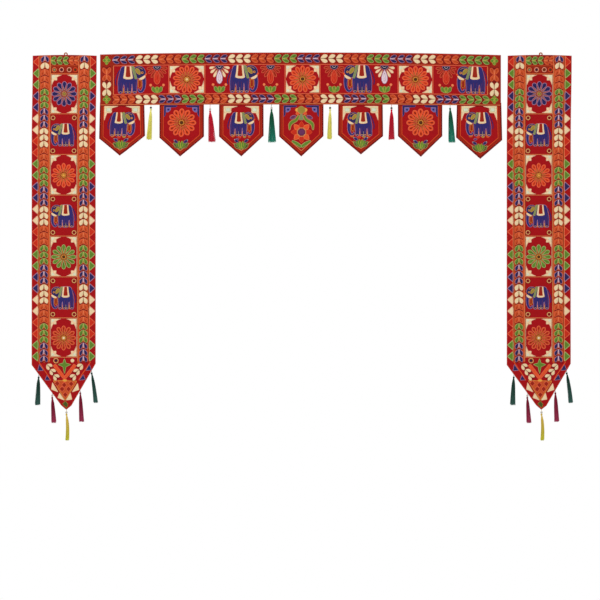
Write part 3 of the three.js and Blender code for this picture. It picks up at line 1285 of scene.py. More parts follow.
def finished(name: str, mesh: bpy.types.Mesh, hang: Hang | None = None,
             slot: str = "cloth") -> bpy.types.Object:
    """Makes a piece of a mesh, hung in its place, and lets it ride.

    Args:
        name: The piece's name.
        mesh: Its mesh, in millimetres where hang is given, or else in metres.
        hang: Puts flat places in millimetres where they hang, in metres.
        slot: The record's material slot. Not used.

    Returns:
        The piece.
    """
    if hang:
        flat = np.empty(len(mesh.vertices) * 3, np.float32)
        mesh.vertices.foreach_get("co", flat)
        hung = hang(flat.reshape(-1, 3).astype(float))
        mesh.vertices.foreach_set("co", hung.astype(np.float32).ravel())
        mesh.update()
    mesh.shade_smooth()
    piece = bpy.data.objects.new(name, mesh)
    bpy.context.scene.collection.objects.link(piece)
    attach(piece, BODY)
    return piece


@dataclass(frozen=True)
class Ripple:
    """A soft wave of a hung cloth: its amplitude and length in millimetres, and its phase in turns."""

    amplitude: float
    length: float
    phase: float

    def off(self, along: np.ndarray) -> np.ndarray:
        """How far it stands off the wall at places along it."""
        return self.amplitude / 2 * (1 - np.cos(2 * np.pi * (along / self.length + self.phase)))


def eased(share: np.ndarray, full: float) -> np.ndarray:
    """Grows smoothly from 0 at 0 to 1 where the share is full."""
    t = np.clip(share / full, 0, 1)
    return t * t * (3 - 2 * t)


def pucker(x: np.ndarray, z: np.ndarray) -> np.ndarray:
    """The small unevenness of a densely stitched cloth, in millimetres."""
    waves = np.sin(x / 7.3 + 0.8 * np.sin(z / 19.0)) * np.sin(z / 8.9 + 0.9 * np.sin(x / 23.0))
    return 0.22 * waves + 0.16 * np.sin(x / 17.0 + z / 13.0)


def stops(start: float, end: float, step: float, marks: Sequence[float] = ()) -> list[float]:
    """Places from start to end, at most a step apart, with each mark among them.

    Args:
        start, end: The first and the last place.
        step: The most that lies between two places.
        marks: Places that have to be among them.

    Returns:
        The places, in order.
    """
    found = [start]
    for mark in sorted([*marks, end]):
        pieces = max(1, math.ceil((mark - found[-1]) / step - 1e-6))
        begin = found[-1]
        found += [begin + (mark - begin) * (k + 1) / pieces for k in range(pieces)]
    return found


@dataclass
class Cloth:
    """A hemmed cloth: its grid on the flat, and its grounds.

    The grid comes from place(column, row), and ground(x, z) says which ground lies at a place and
    at what angle its rows of stitches run.
    """

    name: str
    columns: int
    rows: int
    place: Callable[[int, int], complex]
    ground: Callable[[float, float], tuple[Thread, float]]
    hang: Hang
    hem: float = 0.45
    rounding: float = 0.7

    def sheet(self, grounds: Sequence[Thread]) -> bpy.types.Object:
        """Makes the cloth itself, with its hem turned to the back.

        Args:
            grounds: The ground threads that it has.

        Returns:
            The cloth, in place of its solid.
        """
        form = bmesh.new()
        bmesh.ops.create_grid(form, x_segments=self.columns, y_segments=self.rows, size=1)
        for corner in form.verts:
            column = round((corner.co.x + 1) / 2 * self.columns)
            row = round((1 - corner.co.y) / 2 * self.rows)
            spot = self.place(column, row)
            corner.co = (spot.real, -FRONT, spot.imag)
        form.normal_update()
        angle = form.faces.layers.float.new("angle")
        for face in form.faces:
            spot = face.calc_center_median()
            thread, face[angle] = self.ground(spot.x, spot.z)
            face.material_index = grounds.index(thread)
        fronts = list(form.faces)
        behind = bmesh.ops.extrude_face_region(form, geom=fronts, use_keep_orig=True)["geom"]
        backs = [part for part in behind if isinstance(part, bmesh.types.BMFace)]
        for corner in {corner for face in backs for corner in face.verts}:
            corner.co.y = FRONT
        for face in backs:
            face.material_index = len(grounds)
        bmesh.ops.recalc_face_normals(form, faces=form.faces)
        flat = {*fronts, *backs}
        rim = [edge for edge in form.edges if sum(face in flat for face in edge.link_faces) == 1]
        on_rim = {corner for edge in rim for corner in edge.verts}
        middle = [face for face in backs if on_rim.isdisjoint(face.verts)]
        bmesh.ops.inset_region(form, faces=middle, thickness=self.hem, depth=-self.hem)
        bmesh.ops.bevel(form, geom=rim, offset=self.rounding, offset_type="OFFSET", segments=2,
                        profile=0.5, affect="EDGES")
        StitchMaker.lay_rows(form, angle)
        mesh = meshed(self.name, form)
        for thread in grounds:
            mesh.materials.append(filled_with(thread))
        back = Finish("cloth_back", linear(150, 22, 30), "weave", roughness=0.85, depth=0.0002, relief=0.4)
        mesh.materials.append(back.material())
        piece = finished(self.name, mesh, self.hang)
        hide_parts(self.name)
        return piece


@dataclass(frozen=True)
class Band:
    """The band along the lintel."""

    width: float = 1002.0
    height: float = 130.0
    field_left: float = -467.5
    field_top: float = 30.0
    field_foot: float = 102.5
    left_drop: float = 5.0
    right_drop: float = 6.5
    lower_share: float = 0.55
    power: float = 2.6
    ripple_full: float = 0.75
    ripples: tuple[Ripple, ...] = (Ripple(3.0, 430, 0.15), Ripple(1.2, 190, 0.6))
    pairs: int = 49
    first_pair: float = -461.25
    pair_step: float = 19.27
    end_column: float = 484.5
    grid: float = 6.2

    def drape(self, x: np.ndarray, below: np.ndarray) -> tuple[np.ndarray, np.ndarray]:
        """How far the band stands off the wall, and how far it hangs down.

        Args:
            x: Places along the band.
            below: How far they are below its top edge.

        Returns:
            The distance off the wall, and the drop.
        """
        share = below / self.height
        drop = np.where(x < 0, self.left_drop, self.right_drop)
        curve = (np.abs(x) / (self.width / 2)) ** self.power
        off = eased(share, self.ripple_full) * sum(one.off(x) for one in self.ripples)
        return off, drop * curve * (1 + (self.lower_share - 1) * share)

    def hang(self, flat: np.ndarray) -> np.ndarray:
        """Puts flat places of the band where they hang, in metres.

        Args:
            flat: The places, one to a row.

        Returns:
            The hung places.
        """
        x, y, z = flat.T
        off, drop = self.drape(x, -z)
        off = off + eased(-z / self.height, self.ripple_full) * pucker(x, z)
        return np.stack((x, y - off, z - drop), axis=1) * MM

    def ground(self, x: float, z: float) -> tuple[Thread, float]:
        """The ground at a place: rust in the borders, and crimson in the field.

        Args:
            x, z: The place.

        Returns:
            The thread of the ground, and the angle of its rows.
        """
        if abs(x) > -self.field_left:
            return Thread.RUST, 90.0
        if self.field_top < -z < self.field_foot:
            return Thread.CRIMSON, 0.0
        return Thread.RUST, 0.0

    def build(self, maker: StitchMaker) -> None:
        """Makes the band and its embroidery.

        Args:
            maker: What makes the stitches.
        """
        xs = stops(-self.width / 2, self.width / 2, self.grid, (self.field_left, -self.field_left))
        zs = stops(0, self.height, self.grid, (self.field_top, self.field_foot))
        cloth = Cloth("toran_band", len(xs) - 1, len(zs) - 1,
                      lambda column, row: complex(xs[column], -zs[row]), self.ground, self.hang)
        piece = cloth.sheet((Thread.CRIMSON, Thread.RUST))
        maker.stitch_on("toran_band", self.embroidery(), self.hang)

    def embroidery(self) -> Embroidery:
        """Everything that is stitched on the band.

        Returns:
            The embroidery.
        """
        work = Embroidery()
        self.borders(work)
        self.ends(work)
        self.boxes(work)
        return work

    def borders(self, work: Embroidery) -> None:
        """Adds the two rows of leaf pairs, and the lines along them.

        Args:
            work: The embroidery it goes to.
        """
        top_order = (LeafColour.NAVY, LeafColour.CREAM, LeafColour.ORANGE, LeafColour.GREEN)
        foot_order = (LeafColour.ORANGE, LeafColour.CREAM, LeafColour.NAVY, LeafColour.GREEN)
        for number in range(self.pairs):
            x = self.first_pair + number * self.pair_step
            group = min(number // 3, 15) % 4
            work.place(LeafPair(top_order[group]), complex(x, -15))
            work.place(LeafPair(foot_order[group]), complex(x, -115.5), 180)
        edge = -self.field_left
        for below in (self.field_top, self.field_foot):
            work.bar(Thread.CORAL, edge, below, 2.6)
        half = self.width / 2 - 1.5
        work.bar(Thread.APRICOT, half, 128.4, 2.2)
        work.bar(Thread.VERMILION, half, 2.2, 2.2)

    def ends(self, work: Embroidery) -> None:
        """Adds the column of motifs at each end.

        Args:
            work: The embroidery it goes to.
        """
        for side in (-1, 1):
            x = side * self.end_column
            work.post(Thread.APRICOT, -side * self.field_left, self.field_top, self.field_foot, 2.4)
            for below in (15.5, 114.5):
                work.place(Quatrefoil(), complex(x, -below))
            for below, colour, turn in (
                (42, LeafColour.ORANGE, 90), (60, LeafColour.ORANGE, -90),
                (79, LeafColour.CREAM, 90), (97, LeafColour.CREAM, -90),
            ):
                work.place(LeafPair(colour), complex(x, -below), turn)

    def boxes(self, work: Embroidery) -> None:
        """Adds the elephants, the hanging flowers and the rosettes of the field.

        Args:
            work: The embroidery it goes to.
        """
        top = -self.field_top * 1j
        middle = -(self.field_top + self.field_foot) / 2
        for x, faces_left in ((-424, False), (-144, False), (146, True), (429, True)):
            work.place(Elephant(), x + top - 0.8j, mirrored=faces_left)
        white = HalfFlower(Thread.CREAM, Thread.ROSE, Thread.PEARL, Thread.LILAC)
        for x in (-358.5, -75, 84, 364):
            work.place(HalfFlower(), x + top - 1j)
        for x in (-202.5, 210):
            work.place(white, x + top - 1j)
        gold = Rosette(34.5, 13, slim=0.66, centre=Thread.STRAW, loops=Thread.RUST)
        dark = Rosette(33.5, 13, slim=0.66, loops=Thread.VERMILION)
        for left, right, flower in ((-329, -239, gold), (-38.5, 49, dark), (244, 331, dark)):
            centre = complex((left + right) / 2, middle)
            work.place(flower, centre)
            clouds(work, centre, (right - left) / 2 - 1.6, 34.4)
            for x in (left, right):
                work.post(Thread.CORAL, x, self.field_top, self.field_foot, 3.2)


@dataclass(frozen=True)
class Pendant:
    """A pentagon cloth behind the band's lower edge."""

    number: int
    middle: float
    left_shoulder: float
    right_shoulder: float
    tip_shift: float
    tip: float
    curl: float
    flare: float
    band: Band
    width: float = 111.0
    seam: float = 8.0
    margin: float = 10.0
    stitched_from: float = -134.2
    grid: float = 6.2
    row_share: float = 0.055

    def foot(self, across: np.ndarray) -> np.ndarray:
        """The height of its lower edge, from -1 at its left side to 1 at its right."""
        shoulder = np.where(across < 0, self.left_shoulder, self.right_shoulder)
        return self.tip + (shoulder - self.tip) * np.abs(across)

    def hang(self, flat: np.ndarray) -> np.ndarray:
        """Puts flat places of the pendant where they hang, in metres.

        Args:
            flat: The places, one to a row.

        Returns:
            The hung places.
        """
        x, y, z = flat.T
        below = np.full_like(x, self.band.height - self.seam)
        off, drop = self.band.drape(x, below)
        seam = -below - drop
        across = np.clip((x - self.middle) / (self.width / 2), -1, 1)
        fallen = (seam - z) / (seam - self.tip)
        shifted = x + (self.tip_shift * (1 - np.abs(across)) + across * self.flare / 2) * fallen
        forward = self.curl * fallen ** 2 + eased(fallen, 0.5) * pucker(x, z)
        return np.stack((shifted, y - off + CLOTH + GAP - forward, z), axis=1) * MM

    def ground(self, x: float, z: float) -> tuple[Thread, float]:
        """The ground at a place: a rust margin about a crimson field.

        Args:
            x, z: The place.

        Returns:
            The thread of the ground, and the angle of its rows.
        """
        side = x - self.middle
        half = self.width / 2
        inner = float(self.foot(np.array(side / half))) + self.margin_up()
        if z < inner:
            lean = math.degrees(math.atan2(self.left_shoulder - self.tip, half))
            return Thread.RUST, -lean if side < 0 else lean
        if abs(side) > half - self.margin:
            return Thread.RUST, 90.0
        return Thread.CRIMSON, 0.0

    def margin_up(self) -> float:
        """How tall the margin is over the sloping edge."""
        slope = (self.left_shoulder - self.tip) / (self.width / 2)
        return self.margin * math.hypot(1, slope)

    def build(self, maker: StitchMaker) -> None:
        """Makes the pendant and its embroidery.

        Args:
            maker: What makes the stitches.
        """
        half = self.width / 2
        inner = half - self.margin
        sides = stops(-half, half, self.grid, (-inner, 0.0, inner))
        shares = stops(0.0, 1.0, self.row_share)
        below = self.band.height - self.seam

        def place(column: int, row: int) -> complex:
            """A place of the grid. Its last row is the margin.

            Args:
                column, row: Its numbers in the grid.

            Returns:
                The place.
            """
            side = sides[column]
            x = np.array([self.middle + side])
            _, drop = self.band.drape(x, np.array([below]))
            seam = -below - float(drop[0])
            foot = float(self.foot(np.array(side / half)))
            if row == len(shares):
                return complex(self.middle + side, foot)
            upper = foot + self.margin_up()
            return complex(self.middle + side, seam + (upper - seam) * shares[row])

        name = f"pendant_{self.number}"
        cloth = Cloth(name, len(sides) - 1, len(shares), place, self.ground, self.hang)
        piece = cloth.sheet((Thread.CRIMSON, Thread.RUST))
        maker.stitch_on(name, self.embroidery(), self.hang)

    def embroidery(self) -> Embroidery:
        """Everything that is stitched on this pendant.

        Returns:
            The embroidery.
        """
        work = Embroidery()
        self.edges(work)
        top = complex(self.middle, -131.5)
        if self.number in (1, 3, 5, 7):
            self.with_elephant(work, top)
        else:
            self.brackets(work, top)
            if self.number == 4:
                work.place(HungFlower(), top)
            else:
                self.with_rosette(work, top)
        return work

    def course(self, out: float, heights: Sequence[float]) -> Outline:
        """A line down the left side, along the foot and up the right side.

        Args:
            out: How far its sides are from the middle.
            heights: The heights of its five places.

        Returns:
            Its places.
        """
        return [complex(self.middle + out * across, height)
                for across, height in zip((-1, -1, 0, 1, 1), heights)]

    def edges(self, work: Embroidery) -> None:
        """Adds the lines along the margin, and the chevron over the point.

        Args:
            work: The embroidery it goes to.
        """
        half = self.width / 2
        inner = half - self.margin
        start, up = self.stitched_from, self.margin_up()
        left, right = (float(self.foot(np.array(side * inner / half))) + up for side in (-1, 1))
        border = self.course(inner, (start, left, self.tip + up, right, start))
        left, right = (float(self.foot(np.array(side * 0.97))) + 2.2 for side in (-1, 1))
        rim = self.course(half - 1.8, (start, left, self.tip + 2.6, right, start))
        work.line(Thread.WINE, rim, 2.8)
        outer = [complex(self.middle + (p.real - self.middle) * 1.105, p.imag - lower)
                 for p, lower in zip(border, (0, 5, 5, 5, 0))]
        work.line(Thread.VERMILION, outer, 2.0)
        work.line(Thread.ORANGE, border, 2.2)
        _, left, low, right, _ = border
        tip = [low + (left - low) * 0.46 + 1.2j, low + 1.2j, low + (right - low) * 0.46 + 1.2j]
        work.line(Thread.TAN, tip, 1.8, level=1)

    def with_elephant(self, work: Embroidery, top: complex) -> None:
        """Adds pale corners, a canopy, an elephant and a sprig.

        Args:
            work: The embroidery it goes to.
            top: The middle of the pendant's top.
        """
        for mirrored in (False, True):
            work.place(PaleCorner(), top, mirrored=mirrored)
        canopy = smooth([-25.5 - 11.5j, -13.5 - 5.6j, 0 - 2.6j, 13.5 - 5.6j, 25.5 - 11.5j,
                         22 - 15.5j, 8 - 18.6j, -8 - 18.6j, -22 - 15.5j])
        work.fill(Thread.CRIMSON, [top + p for p in canopy], 0, level=1, edge=Thread.WINE, width=1.5)
        work.place(Elephant(), top - 17.2j, size=0.87, mirrored=self.number > 4)
        for spot, thread, edge in (
            (-21 - 77j, Thread.BRICK, Thread.GOLD), (-4 - 80j, Thread.VERMILION, Thread.CORAL),
            (20 - 79j, Thread.BRICK, Thread.ORANGE), (-10.5 - 85.5j, Thread.PLUM, Thread.LILAC),
            (8 - 79j, Thread.OLIVE, Thread.APRICOT),
        ):
            work.fill(thread, leaf(top + spot - 4, top + spot + 4, 5.6, 0.5), 0, edge=edge, width=1.4)
        work.place(Sprig(19.5, 17.5, 21.5), complex(self.middle, self.tip + 17.5))

    @staticmethod
    def brackets(work: Embroidery, top: complex) -> None:
        """Adds a navy corner on each side."""
        for side in (-1, 1):
            work.place(Bracket(), top + complex(side * 43.6, -1.2), mirrored=side > 0)

    def with_rosette(self, work: Embroidery, top: complex) -> None:
        """Adds a rosette and a sprig."""
        work.place(Rosette(35.2, loops=Thread.RUST), top + 1 - 44j)
        work.place(Sprig(19, 18.5, 18.5), complex(self.middle, self.tip + 19))


@dataclass(frozen=True)
class PanelFoot(Motif):
    """The design of a side panel's pointed foot. Its origin is the middle of the panel's top."""

    def draw(self, done: Embroidery) -> None:
        """Adds the star, the chevron and what lies under it.

        Args:
            done: The embroidery it goes to.
        """
        self.star(done)
        self.chevron(done)
        self.apex(done)

    def star(self, done: Embroidery) -> None:
        """Adds the four-pointed star, the ring and the dot beside it.

        Args:
            done: The embroidery it goes to.
        """
        centre = -0.5 - 772j
        tips = (15.5, 14.6j, -15.5, -22.8j)
        outline: Outline = []
        for tip, after in zip(tips, tips[1:] + tips[:1]):
            between = (tip + after) * 0.24
            outline += [centre + tip, centre + tip * 0.55 + between * 0.5, centre + between,
                        centre + after * 0.55 + between * 0.5]
        done.fill(Thread.GREEN, outline, 90, level=1, edge=Thread.MINT, width=1.7)
        done.place(Ring(5.8, Thread.STRAW, Thread.INK), -21.75 - 762.3j)
        done.fill(Thread.CREAM, circle(19.5 - 762.3j, 4.4, 12), 0, level=1, edge=Thread.ROSE, width=1.6)

    def chevron(self, done: Embroidery) -> None:
        """Adds the orange chevron with its pale pairs, the line outside them, and the dark triangles.

        Args:
            done: The embroidery it goes to.
        """
        for side in (-1, 1):
            arm = ribbon([*to_side(side, 26 - 773j, 13 - 790j), -0.5 - 806.5j], [7.4, 7.6, 6])
            done.fill(Thread.ORANGE, arm, 50, edge=Thread.CORAL, width=2.3)
            for x, below in ((39.5, 776.5), (31, 789.5), (21.8, 803)):
                pair = LeafPair(LeafColour.CREAM, 13.5, 16)
                done.place(pair, complex(side * x, -below), side * 42, mirrored=side > 0)
            outside = to_side(side, 65 - 765j, 54.3 - 781j, 43.5 - 796.5j, 34.8 - 811.5j)
            done.line(Thread.ORANGE, outside, 3.6)
        for corners in (
            (-63.5 - 771.5j, -53.3 - 786.8j, -67 - 787.5j), (-44.5 - 798.8j, -35.5 - 810.5j, -49 - 811j),
            (61.3 - 771.5j, 67 - 785.5j, 53 - 786.8j), (46.5 - 797.5j, 52 - 809.5j, 36.5 - 811j),
        ):
            done.fill(Thread.NAVY, list(corners), 45, edge=Thread.LILAC, width=1.9)

    def apex(self, done: Embroidery) -> None:
        """Adds the brick triangle under the chevron with its lozenges, and what lies about it.

        Args:
            done: The embroidery it goes to.
        """
        around = [-28.3 - 812j, 30.3 - 813.5j, 1.5 - 861.5j]
        done.fill(Thread.BRICK, around, 0, edge=Thread.GOLD, width=2.0)
        knot = leaf(-6 - 812j, 7 - 812j, 7.5, 0.5, round_by=0.7)
        done.fill(Thread.GOLD, knot, 0, level=1, edge=Thread.ORANGE, width=1.8)
        for spot in (-18.5 - 819.3j, 16.3 - 820.3j, -6.5 - 833.3j, 9.8 - 833.3j, 1.5 - 847.5j, -1 - 823j):
            lozenge = [spot + 7j, spot + 6.4, spot - 7j, spot - 6.4]
            done.fill(Thread.RUST, lozenge, 45, level=1, edge=Thread.CORAL, width=2.4)
        for corners in (
            (-30.5 - 817j, -16.3 - 841j, -33.5 - 834j), (-12.8 - 843j, -0.5 - 861.5j, -17.5 - 855j),
            (32.5 - 819j, 36 - 835j, 18.5 - 841j), (14.3 - 843j, 18.5 - 859j, 3.5 - 861.5j),
        ):
            done.fill(Thread.CREAM, list(corners), 45, edge=Thread.ROSE, width=1.7)
        star = [1.5 - 863.5j, 8 - 871j, 5 - 880j, -5 - 870.5j]
        done.fill(Thread.MOSS, star, 90, edge=Thread.OLIVE, width=1.8)


@dataclass(frozen=True)
class SidePanel:
    """A long cloth beside the door, with a pointed foot."""

    side: str
    middle: float
    top: float = -8.0
    width: float = 160.0
    length: float = 885.0
    lean: float = 2.5
    lean_within: float = 220.0
    twist: float = 1.6
    crown: float = 2.0
    crown_within: float = 0.06
    ripple_full: float = 0.17
    ripples: tuple[Ripple, ...] = (Ripple(3.4, 520, 0.0), Ripple(1.4, 230, 0.35))
    foot_shares: tuple[float, ...] = (-1.0, -0.08, 0.08, 0.24, 1.0)
    foot_below: tuple[float, ...] = (773.0, 874.0, 885.0, 875.0, 770.0)
    outer: float = 64.3
    inner: float = 35.0
    straight: float = 748.0
    top_row: float = 44.5
    borders_foot: float = 765.0
    pairs: int = 47
    pair_step: float = 16.28
    triangles: int = 27
    triangle_step: float = 28.3
    grid: float = 6.4
    row_share: float = 0.072

    def foot(self, x: float) -> float:
        """How far the lower edge lies below the top edge, at a place across the panel."""
        return float(np.interp(x / (self.width / 2), self.foot_shares, self.foot_below))

    def hang(self, flat: np.ndarray) -> np.ndarray:
        """Puts flat places of the panel where they hang, in metres.

        Args:
            flat: The places, one to a row.

        Returns:
            The hung places.
        """
        x, y, z = flat.T
        below = -z
        share = x / (self.width / 2)
        fallen = below / self.length
        lean = -self.lean * eased(below, self.lean_within)
        twist = self.twist * share * np.sin(2 * np.pi * fallen)
        off = sum(one.off(below) for one in self.ripples) + twist + pucker(x + self.middle, z)
        crown = self.crown * (1 - share ** 2) * (1 - eased(fallen, self.crown_within))
        off = off * eased(fallen, self.ripple_full)
        return np.stack((self.middle + lean + x, y - off, self.top + z + crown), axis=1) * MM

    def ground(self, x: float, z: float) -> tuple[Thread, float]:
        """The ground at a place: brick under the leaves, and crimson elsewhere.

        Args:
            x, z: The place.

        Returns:
            The thread of the ground, and the angle of its rows.
        """
        if self.inner < abs(x) < self.outer and -z < self.borders_foot:
            return Thread.BRICK, 90.0
        if abs(x) < self.inner and -z < self.top_row:
            return Thread.RUST, 0.0
        return Thread.CRIMSON, 90.0 if abs(x) > self.outer else 0.0

    def build(self, maker: StitchMaker) -> None:
        """Makes the panel and its embroidery.

        Args:
            maker: What makes the stitches.
        """
        half = self.width / 2
        marks = (-self.outer, -self.inner, -6.4, 6.4, 19.2, self.inner, self.outer)
        xs = stops(-half, half, self.grid, marks)
        zs = stops(0, self.straight, self.grid, (self.top_row,))
        shares = stops(0.0, 1.0, self.row_share)

        def place(column: int, row: int) -> complex:
            """A place of the grid: straight rows, and then rows that follow the foot.

            Args:
                column, row: Its numbers in the grid.

            Returns:
                The place.
            """
            x = xs[column]
            if row < len(zs):
                return complex(x, -zs[row])
            share = shares[row - len(zs) + 1]
            return complex(x, -self.straight - (self.foot(x) - self.straight) * share)

        name = f"side_panel_{self.side}"
        cloth = Cloth(name, len(xs) - 1, len(zs) + len(shares) - 2, place, self.ground, self.hang)
        piece = cloth.sheet((Thread.CRIMSON, Thread.RUST, Thread.BRICK))
        maker.stitch_on(name, self.embroidery(), self.hang)

    def embroidery(self) -> Embroidery:
        """Everything that is stitched on the panel.

        Returns:
            The embroidery.
        """
        work = Embroidery()
        self.borders(work)
        self.field(work)
        work.place(PanelFoot(), self.lean + 0j)
        return work

    def borders(self, work: Embroidery) -> None:
        """Adds the triangles, the leaf columns, and the lines beside them.

        Args:
            work: The embroidery it goes to.
        """
        leaves = (LeafColour.ORANGE, LeafColour.GREEN, LeafColour.NAVY, LeafColour.CREAM)
        colours = [LeafColour.NAVY, LeafColour.CREAM, *(leaves[k // 3 % 4] for k in range(self.pairs - 2))]
        for number, colour in enumerate(colours):
            for x in (-49.4, 49.2):
                work.place(LeafPair(colour, 15.6), complex(x, -9.5 - number * self.pair_step), -90)
        triangles = (LeafColour.GREEN, LeafColour.NAVY, LeafColour.CREAM, LeafColour.ORANGE)
        for number in range(self.triangles):
            colour = triangles[(number - 1) // 2 % 4] if number else LeafColour.ORANGE
            for side in (1, -1):
                at = complex(-side * 64.5, -15.8 - number * self.triangle_step)
                work.place(Triangle(colour), at, mirrored=side < 0)
        for x in (-self.outer, -self.inner, self.inner, self.outer):
            work.post(Thread.APRICOT, x, 2, self.borders_foot - 1, 2.4)
            work.post(Thread.UMBER, x * 0.965, 2, self.borders_foot - 1, 0.9)
        rim = self.width / 2 - 1.5
        edge = [complex(-rim, -2), complex(-rim, 3 - self.foot(-rim)), complex(-6.4, -871),
                complex(6.4, -881.5), complex(19.2, -872), complex(rim, 3 - self.foot(rim)), complex(rim, -2)]
        work.line(Thread.VERMILION, edge, 2.2)

    def field(self, work: Embroidery) -> None:
        """Adds the top row, and the boxes of rosettes and elephants.

        Args:
            work: The embroidery it goes to.
        """
        order = [LeafColour.GREEN] * 3 + [LeafColour.ORANGE] * 2
        for x, colour in zip((-27.5, -12.6, 2.4, 17.4, 30), order):
            work.place(LeafPair(colour, 13.6, 20), complex(x, -13.8))
        for x, around, middle in (
            (-25.5, Thread.APRICOT, Thread.SAGE), (-7.7, Thread.ROSE, Thread.INK),
            (11.5, Thread.ROSE, Thread.UMBER), (26.8, Thread.ORANGE, Thread.UMBER),
        ):
            work.place(Ring(5.2, around, middle), complex(x, -35.6))
        for below in (26.3, 44.8):
            work.bar(Thread.BRICK, self.inner, below, 2.2)
        navy = Rosette(31, 12, Thread.NAVY, Thread.LILAC, Thread.TAN, Thread.OLIVE)
        orange = Rosette(30.5, slim=0.6, centre=Thread.GOLD, loops=Thread.VERMILION)
        green = Rosette(30.5, 12, Thread.GREEN, Thread.MINT, slim=0.6)
        brick = Rosette(30.5, 12, Thread.BRICK, slim=0.62, centre=Thread.CREAM, loops=Thread.CRIMSON)
        flowers = ((45.8, 145.5, 95.5, navy), (247, 348.5, 299.3, orange),
                   (451, 553, 503, green), (655.5, 754, 705.7, brick))
        for upper, lower, centre, rosette in flowers:
            work.place(rosette, -centre * 1j)
            middle = -(upper + lower) / 2 * 1j
            clouds(work, middle, self.inner - 2.6, (lower - upper) / 2 - 1.4, CornerCloud(33, 34))
            for below in (upper, lower):
                work.bar(Thread.APRICOT, self.inner, below, 2.0)
            for x in (2.4 - self.inner, self.inner - 2.4):
                work.post(Thread.ROSE, x, upper, lower, 1.6)
        for upper, lower in ((145.5, 247), (348.5, 451), (553, 655.5)):
            work.place(Elephant(), -1 - (upper + 24) * 1j, size=0.82, mirrored=True)
            for x in (-27, 26):
                for below in (upper + 10, lower - 9):
                    work.place(Ring(4.8, Thread.STRAW, Thread.WINE), complex(x, -below))


@dataclass(frozen=True)
class Yarn:
    """A tassel yarn: its record slot, its screen colour, and that of its cut tips."""

    slot: str
    colour: tuple[int, int, int]
    tip: tuple[int, int, int]

    def material(self) -> bpy.types.Material:
        """Its finish."""
        return Finish(f"{self.slot}_fibres", linear(*self.colour), "twist", dark=0.76, light=1.4, sheen=0.12,
                      tip=linear(*self.tip)).material()


YELLOW = Yarn("yarn_yellow", (255, 232, 118), (255, 240, 100))
RED = Yarn("yarn_red", (204, 16, 46), (214, 50, 70))
GREEN = Yarn("yarn_green", (20, 82, 50), (46, 156, 130))
MAROON = Yarn("yarn_maroon", (122, 8, 38), (178, 62, 96))
BOTTLE = Yarn("yarn_bottle_green", (22, 56, 44), (66, 108, 98))
MUSTARD = Yarn("yarn_mustard", (218, 186, 84), (208, 206, 60))


@dataclass(frozen=True)
class Tassel:
    """A tassel on its thread, with sizes as its solid has them."""

    name: str
    edge: tuple[float, float, float]
    thread: float
    drop: float
    lean: float
    width: float
    yarn: Yarn
    bow: float = 0.0
    strands: int = 96
    steps: int = 8
    swell: float = 0.6
    head_radius: float = 2.4
    strand_radius: float = 0.36
    ply_radius: float = 0.42
    ply_reach: float = 0.26
    wrap_radius: float = 2.1
    wraps: int = 6

    def build(self) -> None:
        """Makes the thread, the wrapped head and the strands as one piece."""
        draws = random.Random(self.name)
        strands = [self.strand(number, draws) for number in range(self.strands)]
        cords = [cord.moved(self.edge) for cord in [*self.threads(), *strands]]
        mesh = corded(self.name, cords, [self.yarn.material()])
        fall = mesh.attributes.new("fall", "FLOAT", "POINT")
        start, run = self.edge[2] - self.thread, self.drop - self.thread
        below = [(start - corner.co.z) / run for corner in mesh.vertices]
        fall.data.foreach_set("value", [min(max(share, 0.0), 1.0) for share in below])
        mesh.transform(Matrix.Diagonal((MM, MM, MM, 1)))
        piece = finished(self.name, mesh, slot=self.yarn.slot)
        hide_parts(self.name)

    def threads(self) -> list[Cord]:
        """The two plies that it hangs on, and the wrapping of its head.

        Returns:
            The three cords.
        """
        plies = []
        turns, reach = 1.2 * self.thread, self.ply_reach
        steps = 4 * math.ceil(turns)
        for ply in (0, 0.5):
            path = []
            for k in range(steps + 1):
                share = k / steps
                angle = 2 * math.pi * (turns * share / 4 + ply)
                path.append((reach * math.cos(angle), reach * math.sin(angle), -share * (self.thread + 1)))
            plies.append(Cord(path, [self.ply_radius] * len(path)))
        wrap = []
        for k in range(60):
            share = k / 59
            angle = 2 * math.pi * self.wraps * share
            radius = self.wrap_radius * (0.75 + 0.3 * math.sin(math.pi * min(1, share * 1.2)))
            height = -self.thread - 0.8 - 4.4 * share
            wrap.append((radius * math.cos(angle), radius * math.sin(angle), height))
        return [*plies, Cord(wrap, [0.5] * len(wrap))]

    def strand(self, number: int, draws: random.Random) -> Cord:
        """One strand, from inside the head down to its cut end.

        Args:
            number: Its place among the strands.
            draws: The tassel's own random numbers.

        Returns:
            Its cord.
        """
        share = math.sqrt((number + 0.5) / self.strands)
        angle = number * GOLDEN_ANGLE
        start = self.thread + 1.2
        length = self.drop - start - draws.uniform(0.0, 4.5)
        bend = draws.uniform(-1.0, 1.0)
        path = []
        for k in range(self.steps + 1):
            fall = k / self.steps
            neck = min(1.0, fall * 5)
            spread = self.head_radius * 0.75 * neck
            spread += (self.width / 2 - self.strand_radius - self.head_radius * 0.75) * fall ** self.swell
            reach = share * max(spread, 0.3)
            sway = bend * 0.5 * math.sin(math.pi * fall) * neck
            x = reach * math.cos(angle) + self.lean * fall + sway + self.bow * math.sin(math.pi * fall)
            y = reach * (1 - 0.38 * fall) * math.sin(angle)
            path.append((x, y, -start - fall * length))
        return Cord(path, [self.strand_radius] * len(path))


